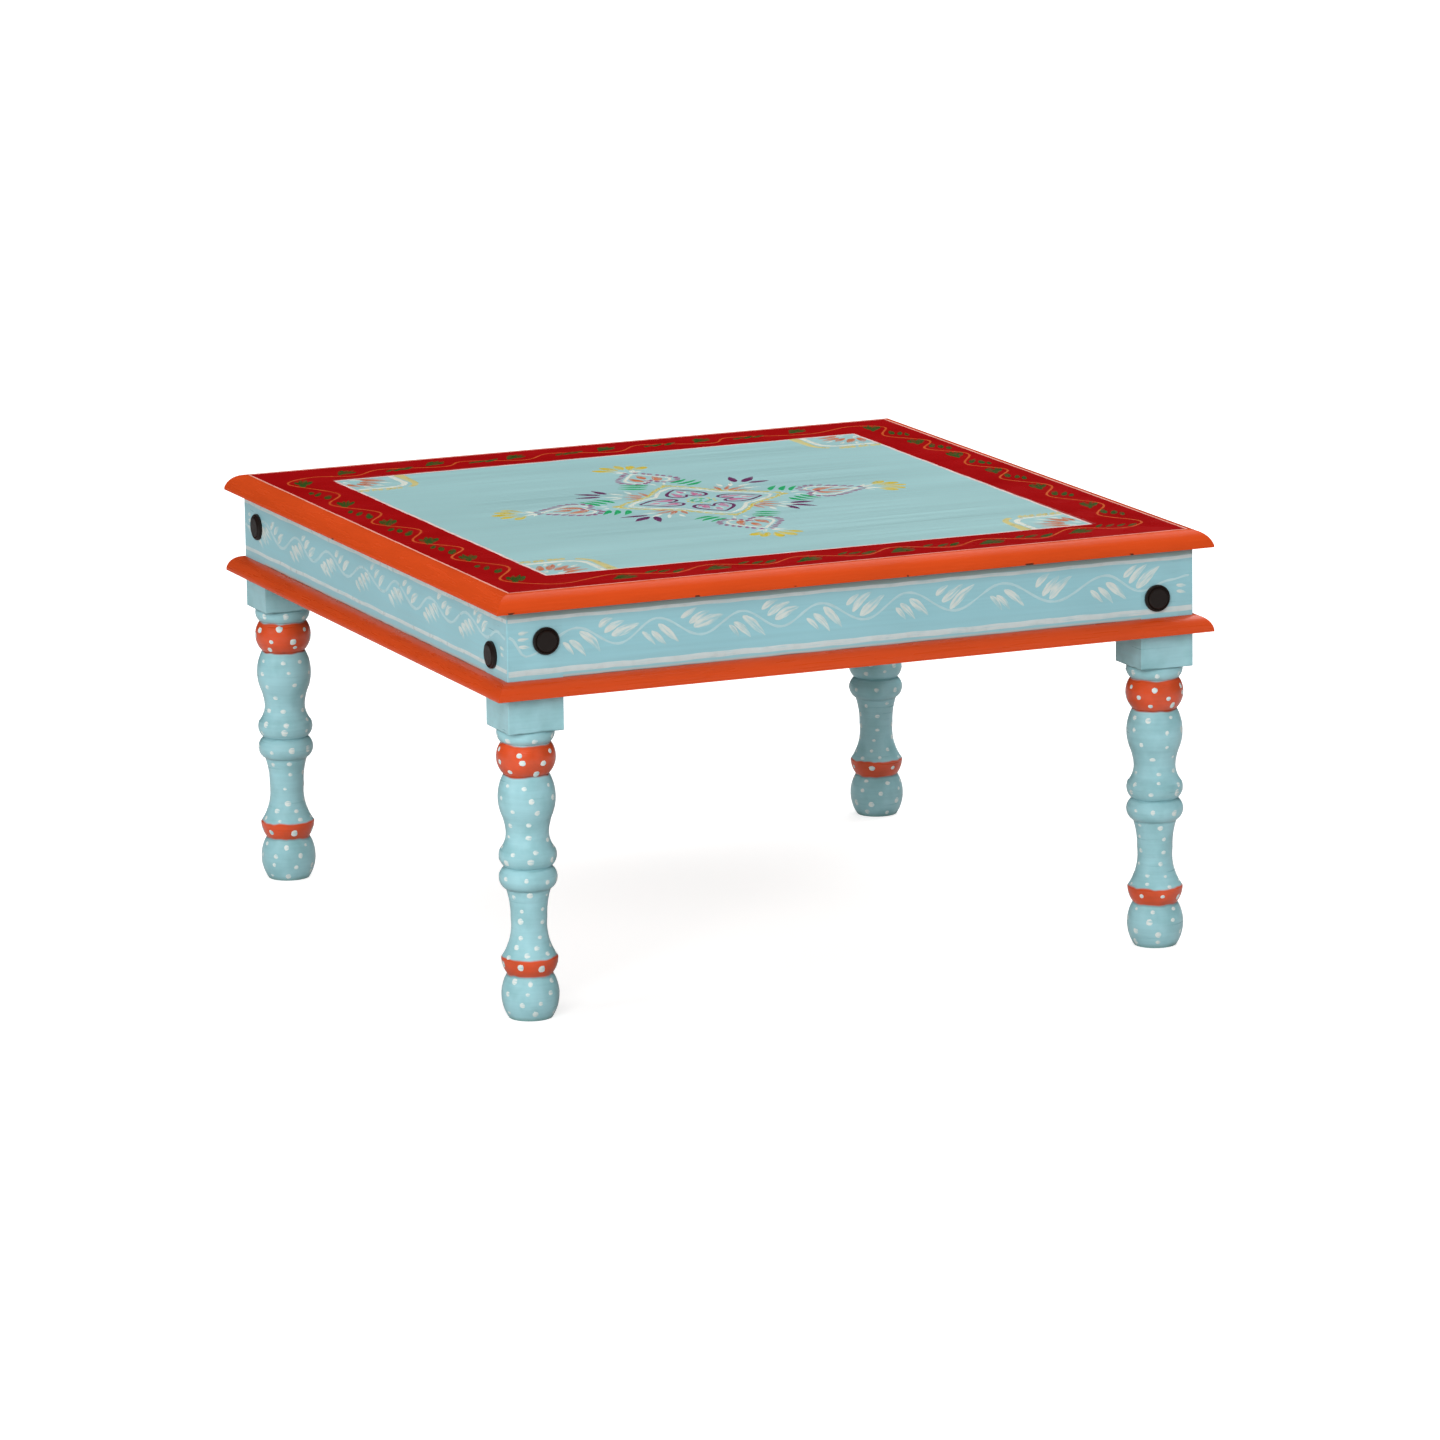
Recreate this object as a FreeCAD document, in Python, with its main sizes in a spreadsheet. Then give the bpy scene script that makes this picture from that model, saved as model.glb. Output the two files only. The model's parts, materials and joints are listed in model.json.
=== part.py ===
"""Hand-painted square coffee table: pinned mortise-and-tenon base on turned legs, mitred top frame with a
tongued board panel, planted lower moulding, iron studs.  Millimetres, +Z up, origin on the floor at the
centre of the table.  The front of the table faces -Y."""

import FreeCAD, Part
import math
import os

import Sketcher

doc = FreeCAD.newDocument("coffee_table")
Vec = FreeCAD.Vector
UP = Vec(0, 0, 1)

# Driving dimensions

SIZES = [
    # base frame
    ("apron_width", 690.0),        # over the outer faces of the posts and rails
    ("post_width", 54.0),          # square leg post
    ("block_drop", 34.0),          # square block below the rails
    ("arris_radius", 0.8),         # eased edges of the post
    ("rail_height", 80.0),
    ("rail_thick", 20.0),
    ("tenon_thick", 10.0),
    ("tenon_setback", 5.0),        # rail's outer face to the tenon's cheek
    ("tenon_length", 30.0),
    ("tenon_shoulder", 10.0),      # above and below the tenon
    ("cheek_clearance", 0.1),
    ("mortise_end_gap", 1.0),
    # turned leg, lengths from the floor up
    ("foot_length", 41.5),
    ("ring_length", 15.0),
    ("column_length", 64.0),
    ("bead_length", 21.0),
    ("flare_length", 31.5),
    ("vase_length", 55.0),
    ("ball_length", 29.5),
    ("collar_length", 12.5),
    # turned leg, radii from the floor up
    ("sole_radius", 20.0),
    ("foot_radius", 26.6),
    ("foot_neck_radius", 21.0),
    ("ring_radius", 26.2),
    ("column_radius", 16.8),
    ("column_top_radius", 20.6),
    ("bead_radius", 26.8),
    ("quirk_radius", 21.5),
    ("flare_radius", 26.6),
    ("waist_radius", 19.7),
    ("vase_radius", 26.4),
    ("vase_neck_radius", 20.8),
    ("ball_radius", 27.3),
    ("ball_neck_radius", 22.5),
    ("collar_radius", 26.6),
    # top
    ("top_thick", 16.0),
    ("top_overhang", 15.0),        # beyond the apron's face
    ("top_frame_width", 82.0),
    ("edge_round_width", 18.0),
    ("edge_lip", 2.0),             # upright land under the rounded edge
    ("tongue_thick", 6.0),
    ("tongue_length", 8.0),
    ("tongue_end_gap", 0.5),
    ("tongue_clearance", 0.1),
    ("board_count", 5),
    ("spline_thick", 4.0),
    ("spline_length", 50.0),       # along the mitre
    ("spline_width", 30.0),        # across the mitre
    # lower moulding
    ("skirt_depth", 15.0),
    ("skirt_height", 15.0),
    ("skirt_lip", 2.0),
    # underside
    ("cleat_width", 20.0),
    ("cleat_height", 22.0),
    ("batten_width", 40.0),
    ("batten_thick", 18.0),
    # iron studs
    ("stud_head_radius", 12.7),
    ("stud_head_height", 4.5),
    ("stud_shank_radius", 3.0),
    ("stud_shank_length", 30.0),
    ("stud_inset", 37.5),          # corner of the apron to the stud's axis
    ("stud_high_drop", 30.0),      # rail's top edge to the higher stud
    ("stud_low_drop", 46.0),
    # wood screws and moulding pins
    ("screw_head_radius", 4.0),
    ("screw_head_height", 3.0),
    ("screw_shank_radius", 2.0),
    ("screw_tip_length", 4.0),
    ("screw_bite", 12.0),          # length of screw in the second piece
    ("cleat_screw_margin", 91.0),  # cleat's end to its first screw
    ("pin_radius", 0.8),
    ("pin_cover", 3.0),            # pin's head to the moulding's outer face
    ("pin_bite", 12.0),            # length of pin in the rail
    ("pin_margin", 21.0),          # post to the first pin
]

sheet = doc.addObject("Spreadsheet::Sheet", "sizes")
for row, (alias, number) in enumerate(SIZES, start=1):
    sheet.set(f"A{row}", alias)
    sheet.set(f"B{row}", str(number))
    sheet.setAlias(f"B{row}", alias)
doc.recompute()


def size(alias):
    """A driving dimension's number, read from the sheet."""
    return float(sheet.get(alias))


class Dim:
    """A number with the expression that gives it from the sheet's cells."""

    def __init__(self, number, words):
        self.number = number
        self.words = words

    def __add__(self, other):
        other = dim(other)
        return Dim(self.number + other.number, f"({self.words} + {other.words})")

    def __sub__(self, other):
        other = dim(other)
        return Dim(self.number - other.number, f"({self.words} - {other.words})")

    def __mul__(self, factor):
        return Dim(self.number * factor, f"({self.words} * {factor})")

    def __neg__(self):
        return self * -1

    def __truediv__(self, divisor):
        return Dim(self.number / divisor, f"({self.words} / {divisor})")


def dim(source):
    """A Dim from an alias, a plain number or another Dim."""
    if isinstance(source, Dim):
        return source
    if isinstance(source, str):
        return Dim(size(source), f"sizes.{source}")
    return Dim(float(source), f"{float(source)}")


def total(*sources):
    """The sum of several dimensions."""
    added = dim(sources[0])
    for source in sources[1:]:
        added = added + source
    return added


# Derived dimensions

apron_half = dim("apron_width") / 2
post_inner = apron_half - "post_width"
rail_inner = apron_half - "rail_thick"
leg_axis = apron_half - dim("post_width") / 2
turned_height = total(
    "foot_length", "ring_length", "column_length", "bead_length",
    "flare_length", "vase_length", "ball_length", "collar_length",
)
rail_bottom = turned_height + "block_drop"
rail_top = rail_bottom + "rail_height"
top_height = rail_top + "top_thick"
tip_half = apron_half + "top_overhang"
panel_half = tip_half - "top_frame_width"
tongue_bottom = rail_top + (dim("top_thick") - "tongue_thick") / 2
cleat_inner = rail_inner - "cleat_width"
board_width = panel_half * 2 / int(size("board_count"))
batten_offset = panel_half / 2

SIDES = [("front", 0), ("right", 90), ("back", 180), ("left", 270)]
CORNERS = [("front_left", 0), ("front_right", 90), ("back_right", 180), ("back_left", 270)]


# Helpers

def bind(thing, **bound):
    """Ties properties to sheet expressions; a double underscore stands for a dot."""
    for name, value in bound.items():
        thing.setExpression(name.replace("__", "."), dim(value).words)
    return thing


def block(name, corner, lengths):
    """A box with its lowest corner and its three lengths tied to the sheet."""
    box = doc.addObject("Part::Box", name)
    bind(box, Length=lengths[0], Width=lengths[1], Height=lengths[2])
    bind(box, Placement__Base__x=corner[0], Placement__Base__y=corner[1], Placement__Base__z=corner[2])
    return box


def joined(name, *shapes):
    fuse = doc.addObject("Part::MultiFuse", name)
    fuse.Shapes = list(shapes)
    return fuse


def cut(name, base, *tools):
    """The base with the tools' room cut out of it, one after another."""
    for number, tool in enumerate(tools):
        result = doc.addObject("Part::Cut", f"{name}_cut_{number}")
        result.Base = base
        result.Tool = tool
        base = result
    return base


def turned_about_z(thing, angle):
    """Turns a piece that was made for the front of the table to another side."""
    thing.Placement = FreeCAD.Placement(Vec(0, 0, 0), FreeCAD.Rotation(UP, angle))
    return thing


def origin_plane(body, role):
    return next(item for item in body.Origin.OriginFeatures if item.Role == role)


def outline(sketch, points):
    """A closed outline of lines and arcs.  Each point is (x, y) or (x, y, bulge): the bulge is the point
    that the arc from the point before it passes through.  Corners are tied to the sheet."""
    corners = [(dim(p[0]), dim(p[1])) for p in points]
    ends = [Vec(x.number, y.number, 0) for x, y in corners]
    edges = []
    for number, point in enumerate(points):
        start, end = ends[number - 1], ends[number]
        if len(point) == 3:
            middle = Vec(dim(point[2][0]).number, dim(point[2][1]).number, 0)
            arc = Part.Arc(start, middle, end)
            edge = sketch.addGeometry(arc, False)
            flipped = sketch.getPoint(edge, 1).distanceToPoint(start) > 1e-6
        else:
            edge = sketch.addGeometry(Part.LineSegment(start, end), False)
            flipped = False
        edges.append((edge, flipped))
    for number, (edge, flipped) in enumerate(edges):
        before, before_flipped = edges[number - 1]
        sketch.addConstraint(Sketcher.Constraint(
            "Coincident", before, 1 if before_flipped else 2, edge, 2 if flipped else 1))
    for number, (edge, flipped) in enumerate(edges):
        place = 1 if flipped else 2
        for kind, value in zip(("DistanceX", "DistanceY"), corners[number]):
            if abs(value.number) < 1e-9:
                on_axis = -2 if kind == "DistanceX" else -1
                sketch.addConstraint(Sketcher.Constraint("PointOnObject", edge, place, on_axis))
                continue
            index = sketch.addConstraint(Sketcher.Constraint(kind, -1, 1, edge, place, value.number))
            sketch.setExpression(f"Constraints[{index}]", value.words)
    return sketch


def profile_sketch(body, name, role, points):
    sketch = body.newObject("Sketcher::SketchObject", name)
    sketch.AttachmentSupport = [(origin_plane(body, role), "")]
    sketch.MapMode = "FlatFace"
    return outline(sketch, points)


# Turned fasteners: one profile revolved, then set wherever the table has one

def revolved(points):
    """A solid of revolution about Z from (radius, height) points, in plain numbers."""
    wire = Part.makePolygon([Vec(radius, 0, height) for radius, height in [*points, points[0]]])
    return Part.Face(wire).revolve(Vec(0, 0, 0), UP, 360)


def stud_shape():
    """Iron stud pointing up: a flat back on z = 0, a rounded rim, a sunk ring and a flat middle."""
    head = size("stud_head_radius")
    tall = size("stud_head_height")
    shank = size("stud_shank_radius")
    reach = size("stud_shank_length")
    rim_top = 0.88 * head
    ring = 0.80 * head
    disc = 0.68 * head
    edges = [
        Part.LineSegment(Vec(0, 0, -reach), Vec(0.4 * shank, 0, -reach)),
        Part.LineSegment(Vec(0.4 * shank, 0, -reach), Vec(shank, 0, -reach + 2 * shank)),
        Part.LineSegment(Vec(shank, 0, -reach + 2 * shank), Vec(shank, 0, 0)),
        Part.LineSegment(Vec(shank, 0, 0), Vec(head, 0, 0)),
        Part.LineSegment(Vec(head, 0, 0), Vec(head, 0, 0.35 * tall)),
        Part.Arc(Vec(head, 0, 0.35 * tall), Vec(0.97 * head, 0, 0.68 * tall), Vec(rim_top, 0, 0.82 * tall)),
        Part.LineSegment(Vec(rim_top, 0, 0.82 * tall), Vec(ring, 0, 0.62 * tall)),
        Part.Arc(Vec(ring, 0, 0.62 * tall), Vec(0.76 * head, 0, 0.88 * tall), Vec(disc, 0, tall)),
        Part.LineSegment(Vec(disc, 0, tall), Vec(0, 0, tall)),
        Part.LineSegment(Vec(0, 0, tall), Vec(0, 0, -reach)),
    ]
    return Part.Face(Part.Wire([edge.toShape() for edge in edges])).revolve(Vec(0, 0, 0), UP, 360)


def screw_shape(length):
    """Countersunk wood screw pointing down from its head at z = 0."""
    head = size("screw_head_radius")
    sink = size("screw_head_height")
    shank = size("screw_shank_radius")
    tip = size("screw_tip_length")
    return revolved([
        (0, 0), (head, 0), (shank, -sink), (shank, tip - length), (0, -length),
    ])


def placed(shape, spot, direction):
    """A copy of a fastener with its own Z axis along a direction, at a spot."""
    copy = shape.copy()
    copy.Placement = FreeCAD.Placement(Vec(*spot), FreeCAD.Rotation(UP, Vec(*direction)))
    return copy


def round_the_table(shapes):
    """The same shapes on all four sides."""
    found = []
    for _, angle in SIDES:
        for shape in shapes:
            copy = shape.copy()
            copy.rotate(Vec(0, 0, 0), UP, angle)
            found.append(copy)
    return found


def group(label, shapes):
    """One node of separate, identical solids."""
    feature = doc.addObject("Part::Feature", label)
    feature.Shape = Part.makeCompound(shapes)
    return feature


def make_studs():
    """Two studs on each face, at staggered heights so that the pins of a corner pass each other."""
    shape = stud_shape()
    face = -apron_half.number
    across = apron_half.number - size("stud_inset")
    high = rail_top.number - size("stud_high_drop")
    low = rail_top.number - size("stud_low_drop")
    outwards = (0, -1, 0)
    pair = [placed(shape, (-across, face, high), outwards), placed(shape, (across, face, low), outwards)]
    return group("iron_studs", round_the_table(pair))


def make_cleat_screws():
    """Upright screws through the cleats into the top, level screws through the cleats into the rails."""
    spacing = post_inner.number - size("cleat_screw_margin")
    middle = -(cleat_inner.number + size("cleat_width") / 2)
    under = rail_top.number - size("cleat_height")
    upright = screw_shape(size("cleat_height") + size("screw_bite"))
    level = screw_shape(size("cleat_width") + size("screw_bite"))
    up = [placed(upright, (step * spacing, middle, under), (0, 0, -1)) for step in (-1, 0, 1)]
    height = rail_top.number - size("cleat_height") / 2
    side = [
        placed(level, (step * spacing / 2, -cleat_inner.number, height), (0, 1, 0)) for step in (-1, 1)
    ]
    return group("cleat_top_screws", round_the_table(up)), group("cleat_rail_screws", round_the_table(side))


def make_batten_screws():
    """One screw through each batten into each board of the panel."""
    shape = screw_shape(size("batten_thick") + size("screw_bite"))
    under = rail_top.number - size("batten_thick")
    first = -panel_half.number + board_width.number / 2
    spots = [
        (side * batten_offset.number, first + number * board_width.number, under)
        for side in (-1, 1)
        for number in range(int(size("board_count")))
    ]
    return group("batten_screws", [placed(shape, spot, (0, 0, -1)) for spot in spots])


def make_moulding_pins():
    """Punched-in pins that hold the lower moulding to the rails."""
    head = apron_half.number + size("skirt_depth") - size("pin_cover")
    length = size("skirt_depth") - size("pin_cover") + size("pin_bite")
    radius = size("pin_radius")
    shape = revolved([(0, 0), (radius, 0), (radius, 2 * radius - length), (0, -length)])
    height = rail_bottom.number + size("skirt_height") / 3
    spacing = (post_inner.number - size("pin_margin")) / 1.5
    row = [placed(shape, ((step - 1.5) * spacing, -head, height), (0, -1, 0)) for step in range(4)]
    return group("moulding_pins", round_the_table(row))


# Base frame

def leg_profile():
    """Half outline of the turned part, from the sole up to the square block."""
    foot = dim("foot_length")
    ring = foot + "ring_length"
    column = ring + "column_length"
    bead = column + "bead_length"
    flare = bead + "flare_length"
    vase = flare + "vase_length"
    ball = vase + "ball_length"
    collar = ball + "collar_length"
    slim = ring + dim("column_length") * 0.58
    shoulder = bead + dim("flare_length") * 0.50
    swell = flare + dim("vase_length") * 0.27
    swell_radius = dim("waist_radius") + (dim("vase_radius") - "waist_radius") * 0.44
    shoulder_radius = dim("flare_radius") - 1.0
    return [
        (0, 0),
        ("sole_radius", 0),
        ("foot_neck_radius", foot, ("foot_radius", foot * 0.50)),
        ("ring_radius", ring, (dim("ring_radius") - 1.3, foot + dim("ring_length") * 0.50)),
        ("column_radius", slim, (dim("column_radius") + 2.3, ring + dim("column_length") * 0.22)),
        ("column_top_radius", column, (dim("column_radius") + 1.1, ring + dim("column_length") * 0.83)),
        ("quirk_radius", bead, ("bead_radius", column + dim("bead_length") * 0.45)),
        (shoulder_radius, shoulder, ("flare_radius", bead + dim("flare_length") * 0.30)),
        ("waist_radius", flare, (dim("waist_radius") + 1.3, bead + dim("flare_length") * 0.76)),
        (swell_radius, swell, (dim("waist_radius") + 0.9, flare + dim("vase_length") * 0.135)),
        ("vase_neck_radius", vase, ("vase_radius", flare + dim("vase_length") * 0.66)),
        ("ball_neck_radius", ball, ("ball_radius", vase + dim("ball_length") * 0.51)),
        (dim("collar_radius") - 0.6, collar, ("collar_radius", ball + dim("collar_length") * 0.58)),
        (0, collar),
    ]


def eased_edges(shape):
    """Names of a leg's eased edges: the post's outer corner and the rim of the block's underside."""
    half = size("post_width") / 2
    names = []
    for number, edge in enumerate(shape.Edges, start=1):
        middle = edge.BoundBox.Center
        at_corner = middle.distanceToPoint(Vec(-half, -half, middle.z)) < 1e-6
        under_block = abs(middle.z - turned_height.number) < 1e-6 and edge.BoundBox.ZLength < 1e-6
        on_rim = abs(max(abs(middle.x), abs(middle.y)) - half) < 1e-6
        if at_corner or (under_block and on_rim):
            names.append(f"Edge{number}")
    return names


def make_leg(label, angle, studs):
    """One piece of wood: a square post with two mortises and the studs' holes, turned below the block."""
    body = doc.addObject("PartDesign::Body", f"{label}_body")
    turning = profile_sketch(body, f"{label}_profile", "XZ_Plane", leg_profile())
    revolution = body.newObject("PartDesign::Revolution", f"{label}_turning")
    revolution.Profile = turning
    revolution.ReferenceAxis = (turning, ["V_Axis"])
    revolution.Angle = 360
    doc.recompute()

    half = dim("post_width") / 2
    square = profile_sketch(body, f"{label}_square", "XY_Plane", [
        (-half, -half), (half, -half), (half, half), (-half, half),
    ])
    bind(square, AttachmentOffset__Base__z=turned_height)
    post = body.newObject("PartDesign::Pad", f"{label}_post")
    post.Profile = square
    bind(post, Length=dim("block_drop") + "rail_height")
    doc.recompute()

    eased = body.newObject("PartDesign::Fillet", f"{label}_eased")
    eased.Base = (post, eased_edges(post.Shape))
    bind(eased, Radius="arris_radius")
    doc.recompute()

    deep = dim("tenon_length") + "mortise_end_gap"
    wide = dim("tenon_thick") + dim("cheek_clearance") * 2
    tall = dim("rail_height") - dim("tenon_shoulder") * 2 + dim("cheek_clearance") * 2
    cheek = dim("tenon_setback") - half - "cheek_clearance"
    low = rail_bottom + "tenon_shoulder" - "cheek_clearance"
    mortises = [
        ((half - deep, cheek, low), (deep, wide, tall)),
        ((cheek, half - deep, low), (wide, deep, tall)),
    ]
    for number, (corner, lengths) in enumerate(mortises):
        mortise = body.newObject("PartDesign::SubtractiveBox", f"{label}_mortise_{number}")
        bind(mortise, Length=lengths[0], Width=lengths[1], Height=lengths[2])
        bind(mortise, Placement__Base__x=corner[0], Placement__Base__y=corner[1],
             Placement__Base__z=corner[2])
        doc.recompute()

    spot = FreeCAD.Rotation(UP, angle).multVec(Vec(-1, -1, 0))
    body.Placement = FreeCAD.Placement(Vec(0, 0, 0), FreeCAD.Rotation(UP, angle))
    bind(body, Placement__Base__x=leg_axis * round(spot.x), Placement__Base__y=leg_axis * round(spot.y))
    leg = cut(label, body, studs)
    leg.Label = label
    return leg


def make_rail(side, angle, *fasteners):
    """Apron rail with a stub tenon at each end, drilled for its studs, screws and pins."""
    board = block(f"rail_{side}_board", (-post_inner, -apron_half, rail_bottom),
                  (post_inner * 2, "rail_thick", "rail_height"))
    reach = post_inner + "tenon_length"
    tenons = block(f"rail_{side}_tenons",
                   (-reach, dim("tenon_setback") - apron_half, rail_bottom + "tenon_shoulder"),
                   (reach * 2, "tenon_thick", dim("rail_height") - dim("tenon_shoulder") * 2))
    solid = turned_about_z(joined(f"rail_{side}_solid", board, tenons), angle)
    rail = cut(f"rail_{side}", solid, *fasteners)
    rail.Label = f"rail_{side}"
    return rail


# Mouldings and top

def rounded_edge(outer, low, lip, high, width):
    """Points of a rounded outer edge: an upright lip, then an arc that ends level at the top."""
    drop = dim(high).number - dim(low).number - dim(lip).number
    across = dim(width).number
    radius = (across * across + drop * drop) / (2 * drop)
    half_turn = math.asin(min(1.0, across / radius)) / 2
    if drop > across:
        half_turn = math.pi / 2 - half_turn
    start = dim(outer).number - across
    middle = (start + radius * math.sin(half_turn), dim(high).number - radius * (1 - math.cos(half_turn)))
    return [
        (dim(outer), low),
        (dim(outer), dim(low) + lip),
        (dim(outer) - width, high, middle),
    ]


def mitred_length(name, angle, points, half_length, section_depth):
    """A length of moulding on one side: its section drawn outwards from the table's centre, padded along
    the side, and cut to a mitre at both ends."""
    body = doc.addObject("PartDesign::Body", f"{name}_body")
    section = profile_sketch(body, f"{name}_section", "YZ_Plane", points)
    strip = body.newObject("PartDesign::Pad", f"{name}_strip")
    strip.Profile = section
    strip.Midplane = True
    bind(strip, Length=dim(half_length) * 2)
    doc.recompute()
    inner = dim(half_length) - section_depth
    ends = []
    for hand in (-1, 1):
        triangle = profile_sketch(body, f"{name}_mitre_{'left' if hand < 0 else 'right'}", "XY_Plane", [
            (inner * hand, inner), (dim(half_length) * hand, half_length), (dim(half_length) * hand, inner),
        ])
        ends.append(triangle)
    for number, triangle in enumerate(ends):
        mitre = body.newObject("PartDesign::Pocket", f"{name}_mitre_cut_{number}")
        mitre.Profile = triangle
        mitre.Type = "ThroughAll"
        mitre.Midplane = True
        doc.recompute()
    return turned_about_z(body, angle + 180)


def make_lower_moulding(side, angle, pins):
    """Quarter-round strip planted on the foot of the rails and posts."""
    outer = apron_half + "skirt_depth"
    high = rail_bottom + "skirt_height"
    points = [(apron_half, rail_bottom),
              *rounded_edge(outer, rail_bottom, "skirt_lip", high, "skirt_depth")]
    strip = mitred_length(f"lower_moulding_{side}", angle, points, outer, "skirt_depth")
    moulding = cut(f"lower_moulding_{side}", strip, pins)
    moulding.Label = f"lower_moulding_{side}"
    return moulding


def make_top_frame(side, angle, *tools):
    """Member of the top's mitred frame: rounded outer edge, groove for the panel's tongue inside."""
    groove_low = tongue_bottom - "tongue_clearance"
    groove_high = tongue_bottom + "tongue_thick" + "tongue_clearance"
    groove_end = panel_half + "tongue_length" + "tongue_end_gap"
    points = [
        (panel_half, rail_top),
        *rounded_edge(tip_half, rail_top, "edge_lip", top_height, "edge_round_width"),
        (panel_half, top_height),
        (panel_half, groove_high),
        (groove_end, groove_high),
        (groove_end, groove_low),
        (panel_half, groove_low),
    ]
    strip = mitred_length(f"top_frame_{side}", angle, points, tip_half, "top_frame_width")
    member = cut(f"top_frame_{side}", strip, *tools)
    member.Label = f"top_frame_{side}"
    return member


def make_mitre_spline(corner, angle):
    """Loose tongue across a mitre of the top frame."""
    label = f"mitre_spline_{corner}"
    spline = doc.addObject("Part::Box", label)
    bind(spline, Length="spline_length", Width="spline_width", Height="spline_thick")
    middle = (tip_half + panel_half) / 2
    low = rail_top + (dim("top_thick") - "spline_thick") / 2
    turn = FreeCAD.Rotation(UP, 225 + angle)
    shift = turn.multVec(Vec(-size("spline_length") / 2, -size("spline_width") / 2, 0))
    spot = FreeCAD.Rotation(UP, angle).multVec(Vec(-1, -1, 0)) * middle.number
    spline.Placement = FreeCAD.Placement(spot + shift + Vec(0, 0, low.number), turn)
    return spline


def make_board(number, screws):
    """Board of the panel: tongues into the frame and into the next board, a groove for the board before."""
    name = f"top_board_{number + 1}"
    near = board_width * number - panel_half
    first = number == 0
    plank = block(f"{name}_plank", (-panel_half, near, rail_top), (panel_half * 2, board_width, "top_thick"))
    front_tongue = dim("tongue_length") if first else dim(0)
    reach = panel_half + "tongue_length"
    tongue = block(f"{name}_tongue", (-reach, near - front_tongue, tongue_bottom),
                   (reach * 2, board_width + "tongue_length" + front_tongue, "tongue_thick"))
    board = joined(f"{name}_solid", plank, tongue)
    tools = [screws]
    if not first:
        groove = block(f"{name}_groove", (-reach, near, tongue_bottom - "tongue_clearance"),
                       (reach * 2, dim("tongue_length") + "tongue_end_gap",
                        dim("tongue_thick") + dim("tongue_clearance") * 2))
        tools.append(groove)
    board = cut(name, board, *tools)
    board.Label = name
    return board


# Underside

def make_cleat(side, angle, *screws):
    """Strip between two posts that ties the rail to the top."""
    strip = block(f"top_cleat_{side}_strip", (-post_inner, -rail_inner, rail_top - "cleat_height"),
                  (post_inner * 2, "cleat_width", "cleat_height"))
    solid = doc.addObject("Part::Compound", f"top_cleat_{side}_turned")
    solid.Links = [strip]
    turned_about_z(solid, angle)
    cleat = cut(f"top_cleat_{side}", solid, *screws)
    cleat.Label = f"top_cleat_{side}"
    return cleat


def make_batten(side, hand, screws):
    """Cross batten that keeps the panel's boards flat."""
    left = batten_offset * hand - dim("batten_width") / 2
    strip = block(f"top_batten_{side}_strip", (left, -cleat_inner, rail_top - "batten_thick"),
                  ("batten_width", cleat_inner * 2, "batten_thick"))
    batten = cut(f"top_batten_{side}", strip, screws)
    batten.Label = f"top_batten_{side}"
    return batten


# Assembly

studs = make_studs()
cleat_top_screws, cleat_rail_screws = make_cleat_screws()
batten_screws = make_batten_screws()
pins = make_moulding_pins()
splines = {corner: make_mitre_spline(corner, angle) for corner, angle in CORNERS}
pieces = [studs, cleat_top_screws, cleat_rail_screws, batten_screws, pins, *splines.values()]

for corner, angle in CORNERS:
    pieces.append(make_leg(f"leg_{corner}", angle, studs))
for side, angle in SIDES:
    pieces.append(make_rail(side, angle, studs, cleat_rail_screws, pins))
    pieces.append(make_lower_moulding(side, angle, pins))
    pieces.append(make_top_frame(side, angle, cleat_top_screws, *splines.values()))
    pieces.append(make_cleat(side, angle, cleat_top_screws, cleat_rail_screws))
for number in range(int(size("board_count"))):
    pieces.append(make_board(number, batten_screws))
for side, hand in (("left", -1), ("right", 1)):
    pieces.append(make_batten(side, hand, batten_screws))

doc.recompute()

# Check and export

faults = [thing.Label for thing in doc.Objects if {"Invalid", "Error"} & set(thing.State)]
faults += [piece.Label for piece in pieces if piece.Shape.isNull() or not piece.Shape.isValid()]
if faults:
    raise SystemExit(f"failed objects: {faults}")

os.makedirs("parts", exist_ok=True)
for piece in pieces:
    piece.Shape.exportStep(os.path.join("parts", f"{piece.Label}.step"))
    print(f"{piece.Label}: {len(piece.Shape.Solids)} solids, {piece.Shape.Volume / 1000:.1f} cm3")
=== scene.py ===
"""Hand-painted coffee table: enamel finishes on the CAD pieces, and the painter's strokes, lines and dots
laid on them as thin raised paint."""

import json
import random
from math import atan2, cos, degrees, pi, radians, sin

import bpy
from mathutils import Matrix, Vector
from mathutils.bvhtree import BVHTree


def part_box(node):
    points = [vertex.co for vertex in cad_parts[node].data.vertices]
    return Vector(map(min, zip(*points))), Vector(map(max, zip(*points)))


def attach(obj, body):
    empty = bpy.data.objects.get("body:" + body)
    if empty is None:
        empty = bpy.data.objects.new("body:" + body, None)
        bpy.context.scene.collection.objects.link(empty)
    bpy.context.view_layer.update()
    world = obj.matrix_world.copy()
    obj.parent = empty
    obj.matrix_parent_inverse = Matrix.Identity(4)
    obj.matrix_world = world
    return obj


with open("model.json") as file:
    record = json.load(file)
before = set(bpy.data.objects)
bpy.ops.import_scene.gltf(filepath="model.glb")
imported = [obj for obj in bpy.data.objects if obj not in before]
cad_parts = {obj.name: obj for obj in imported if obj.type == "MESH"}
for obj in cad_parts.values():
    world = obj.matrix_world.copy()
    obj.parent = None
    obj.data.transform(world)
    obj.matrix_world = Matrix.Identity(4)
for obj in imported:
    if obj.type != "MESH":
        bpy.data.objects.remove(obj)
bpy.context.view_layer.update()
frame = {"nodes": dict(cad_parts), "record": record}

MM = 0.001
UP = Vector((0, 0, 1))
FULL_TURN = 6.283
# A fixed seed, so that the painter's hand is the same in every run
SEED = 11
brush = random.Random(SEED)


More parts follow.
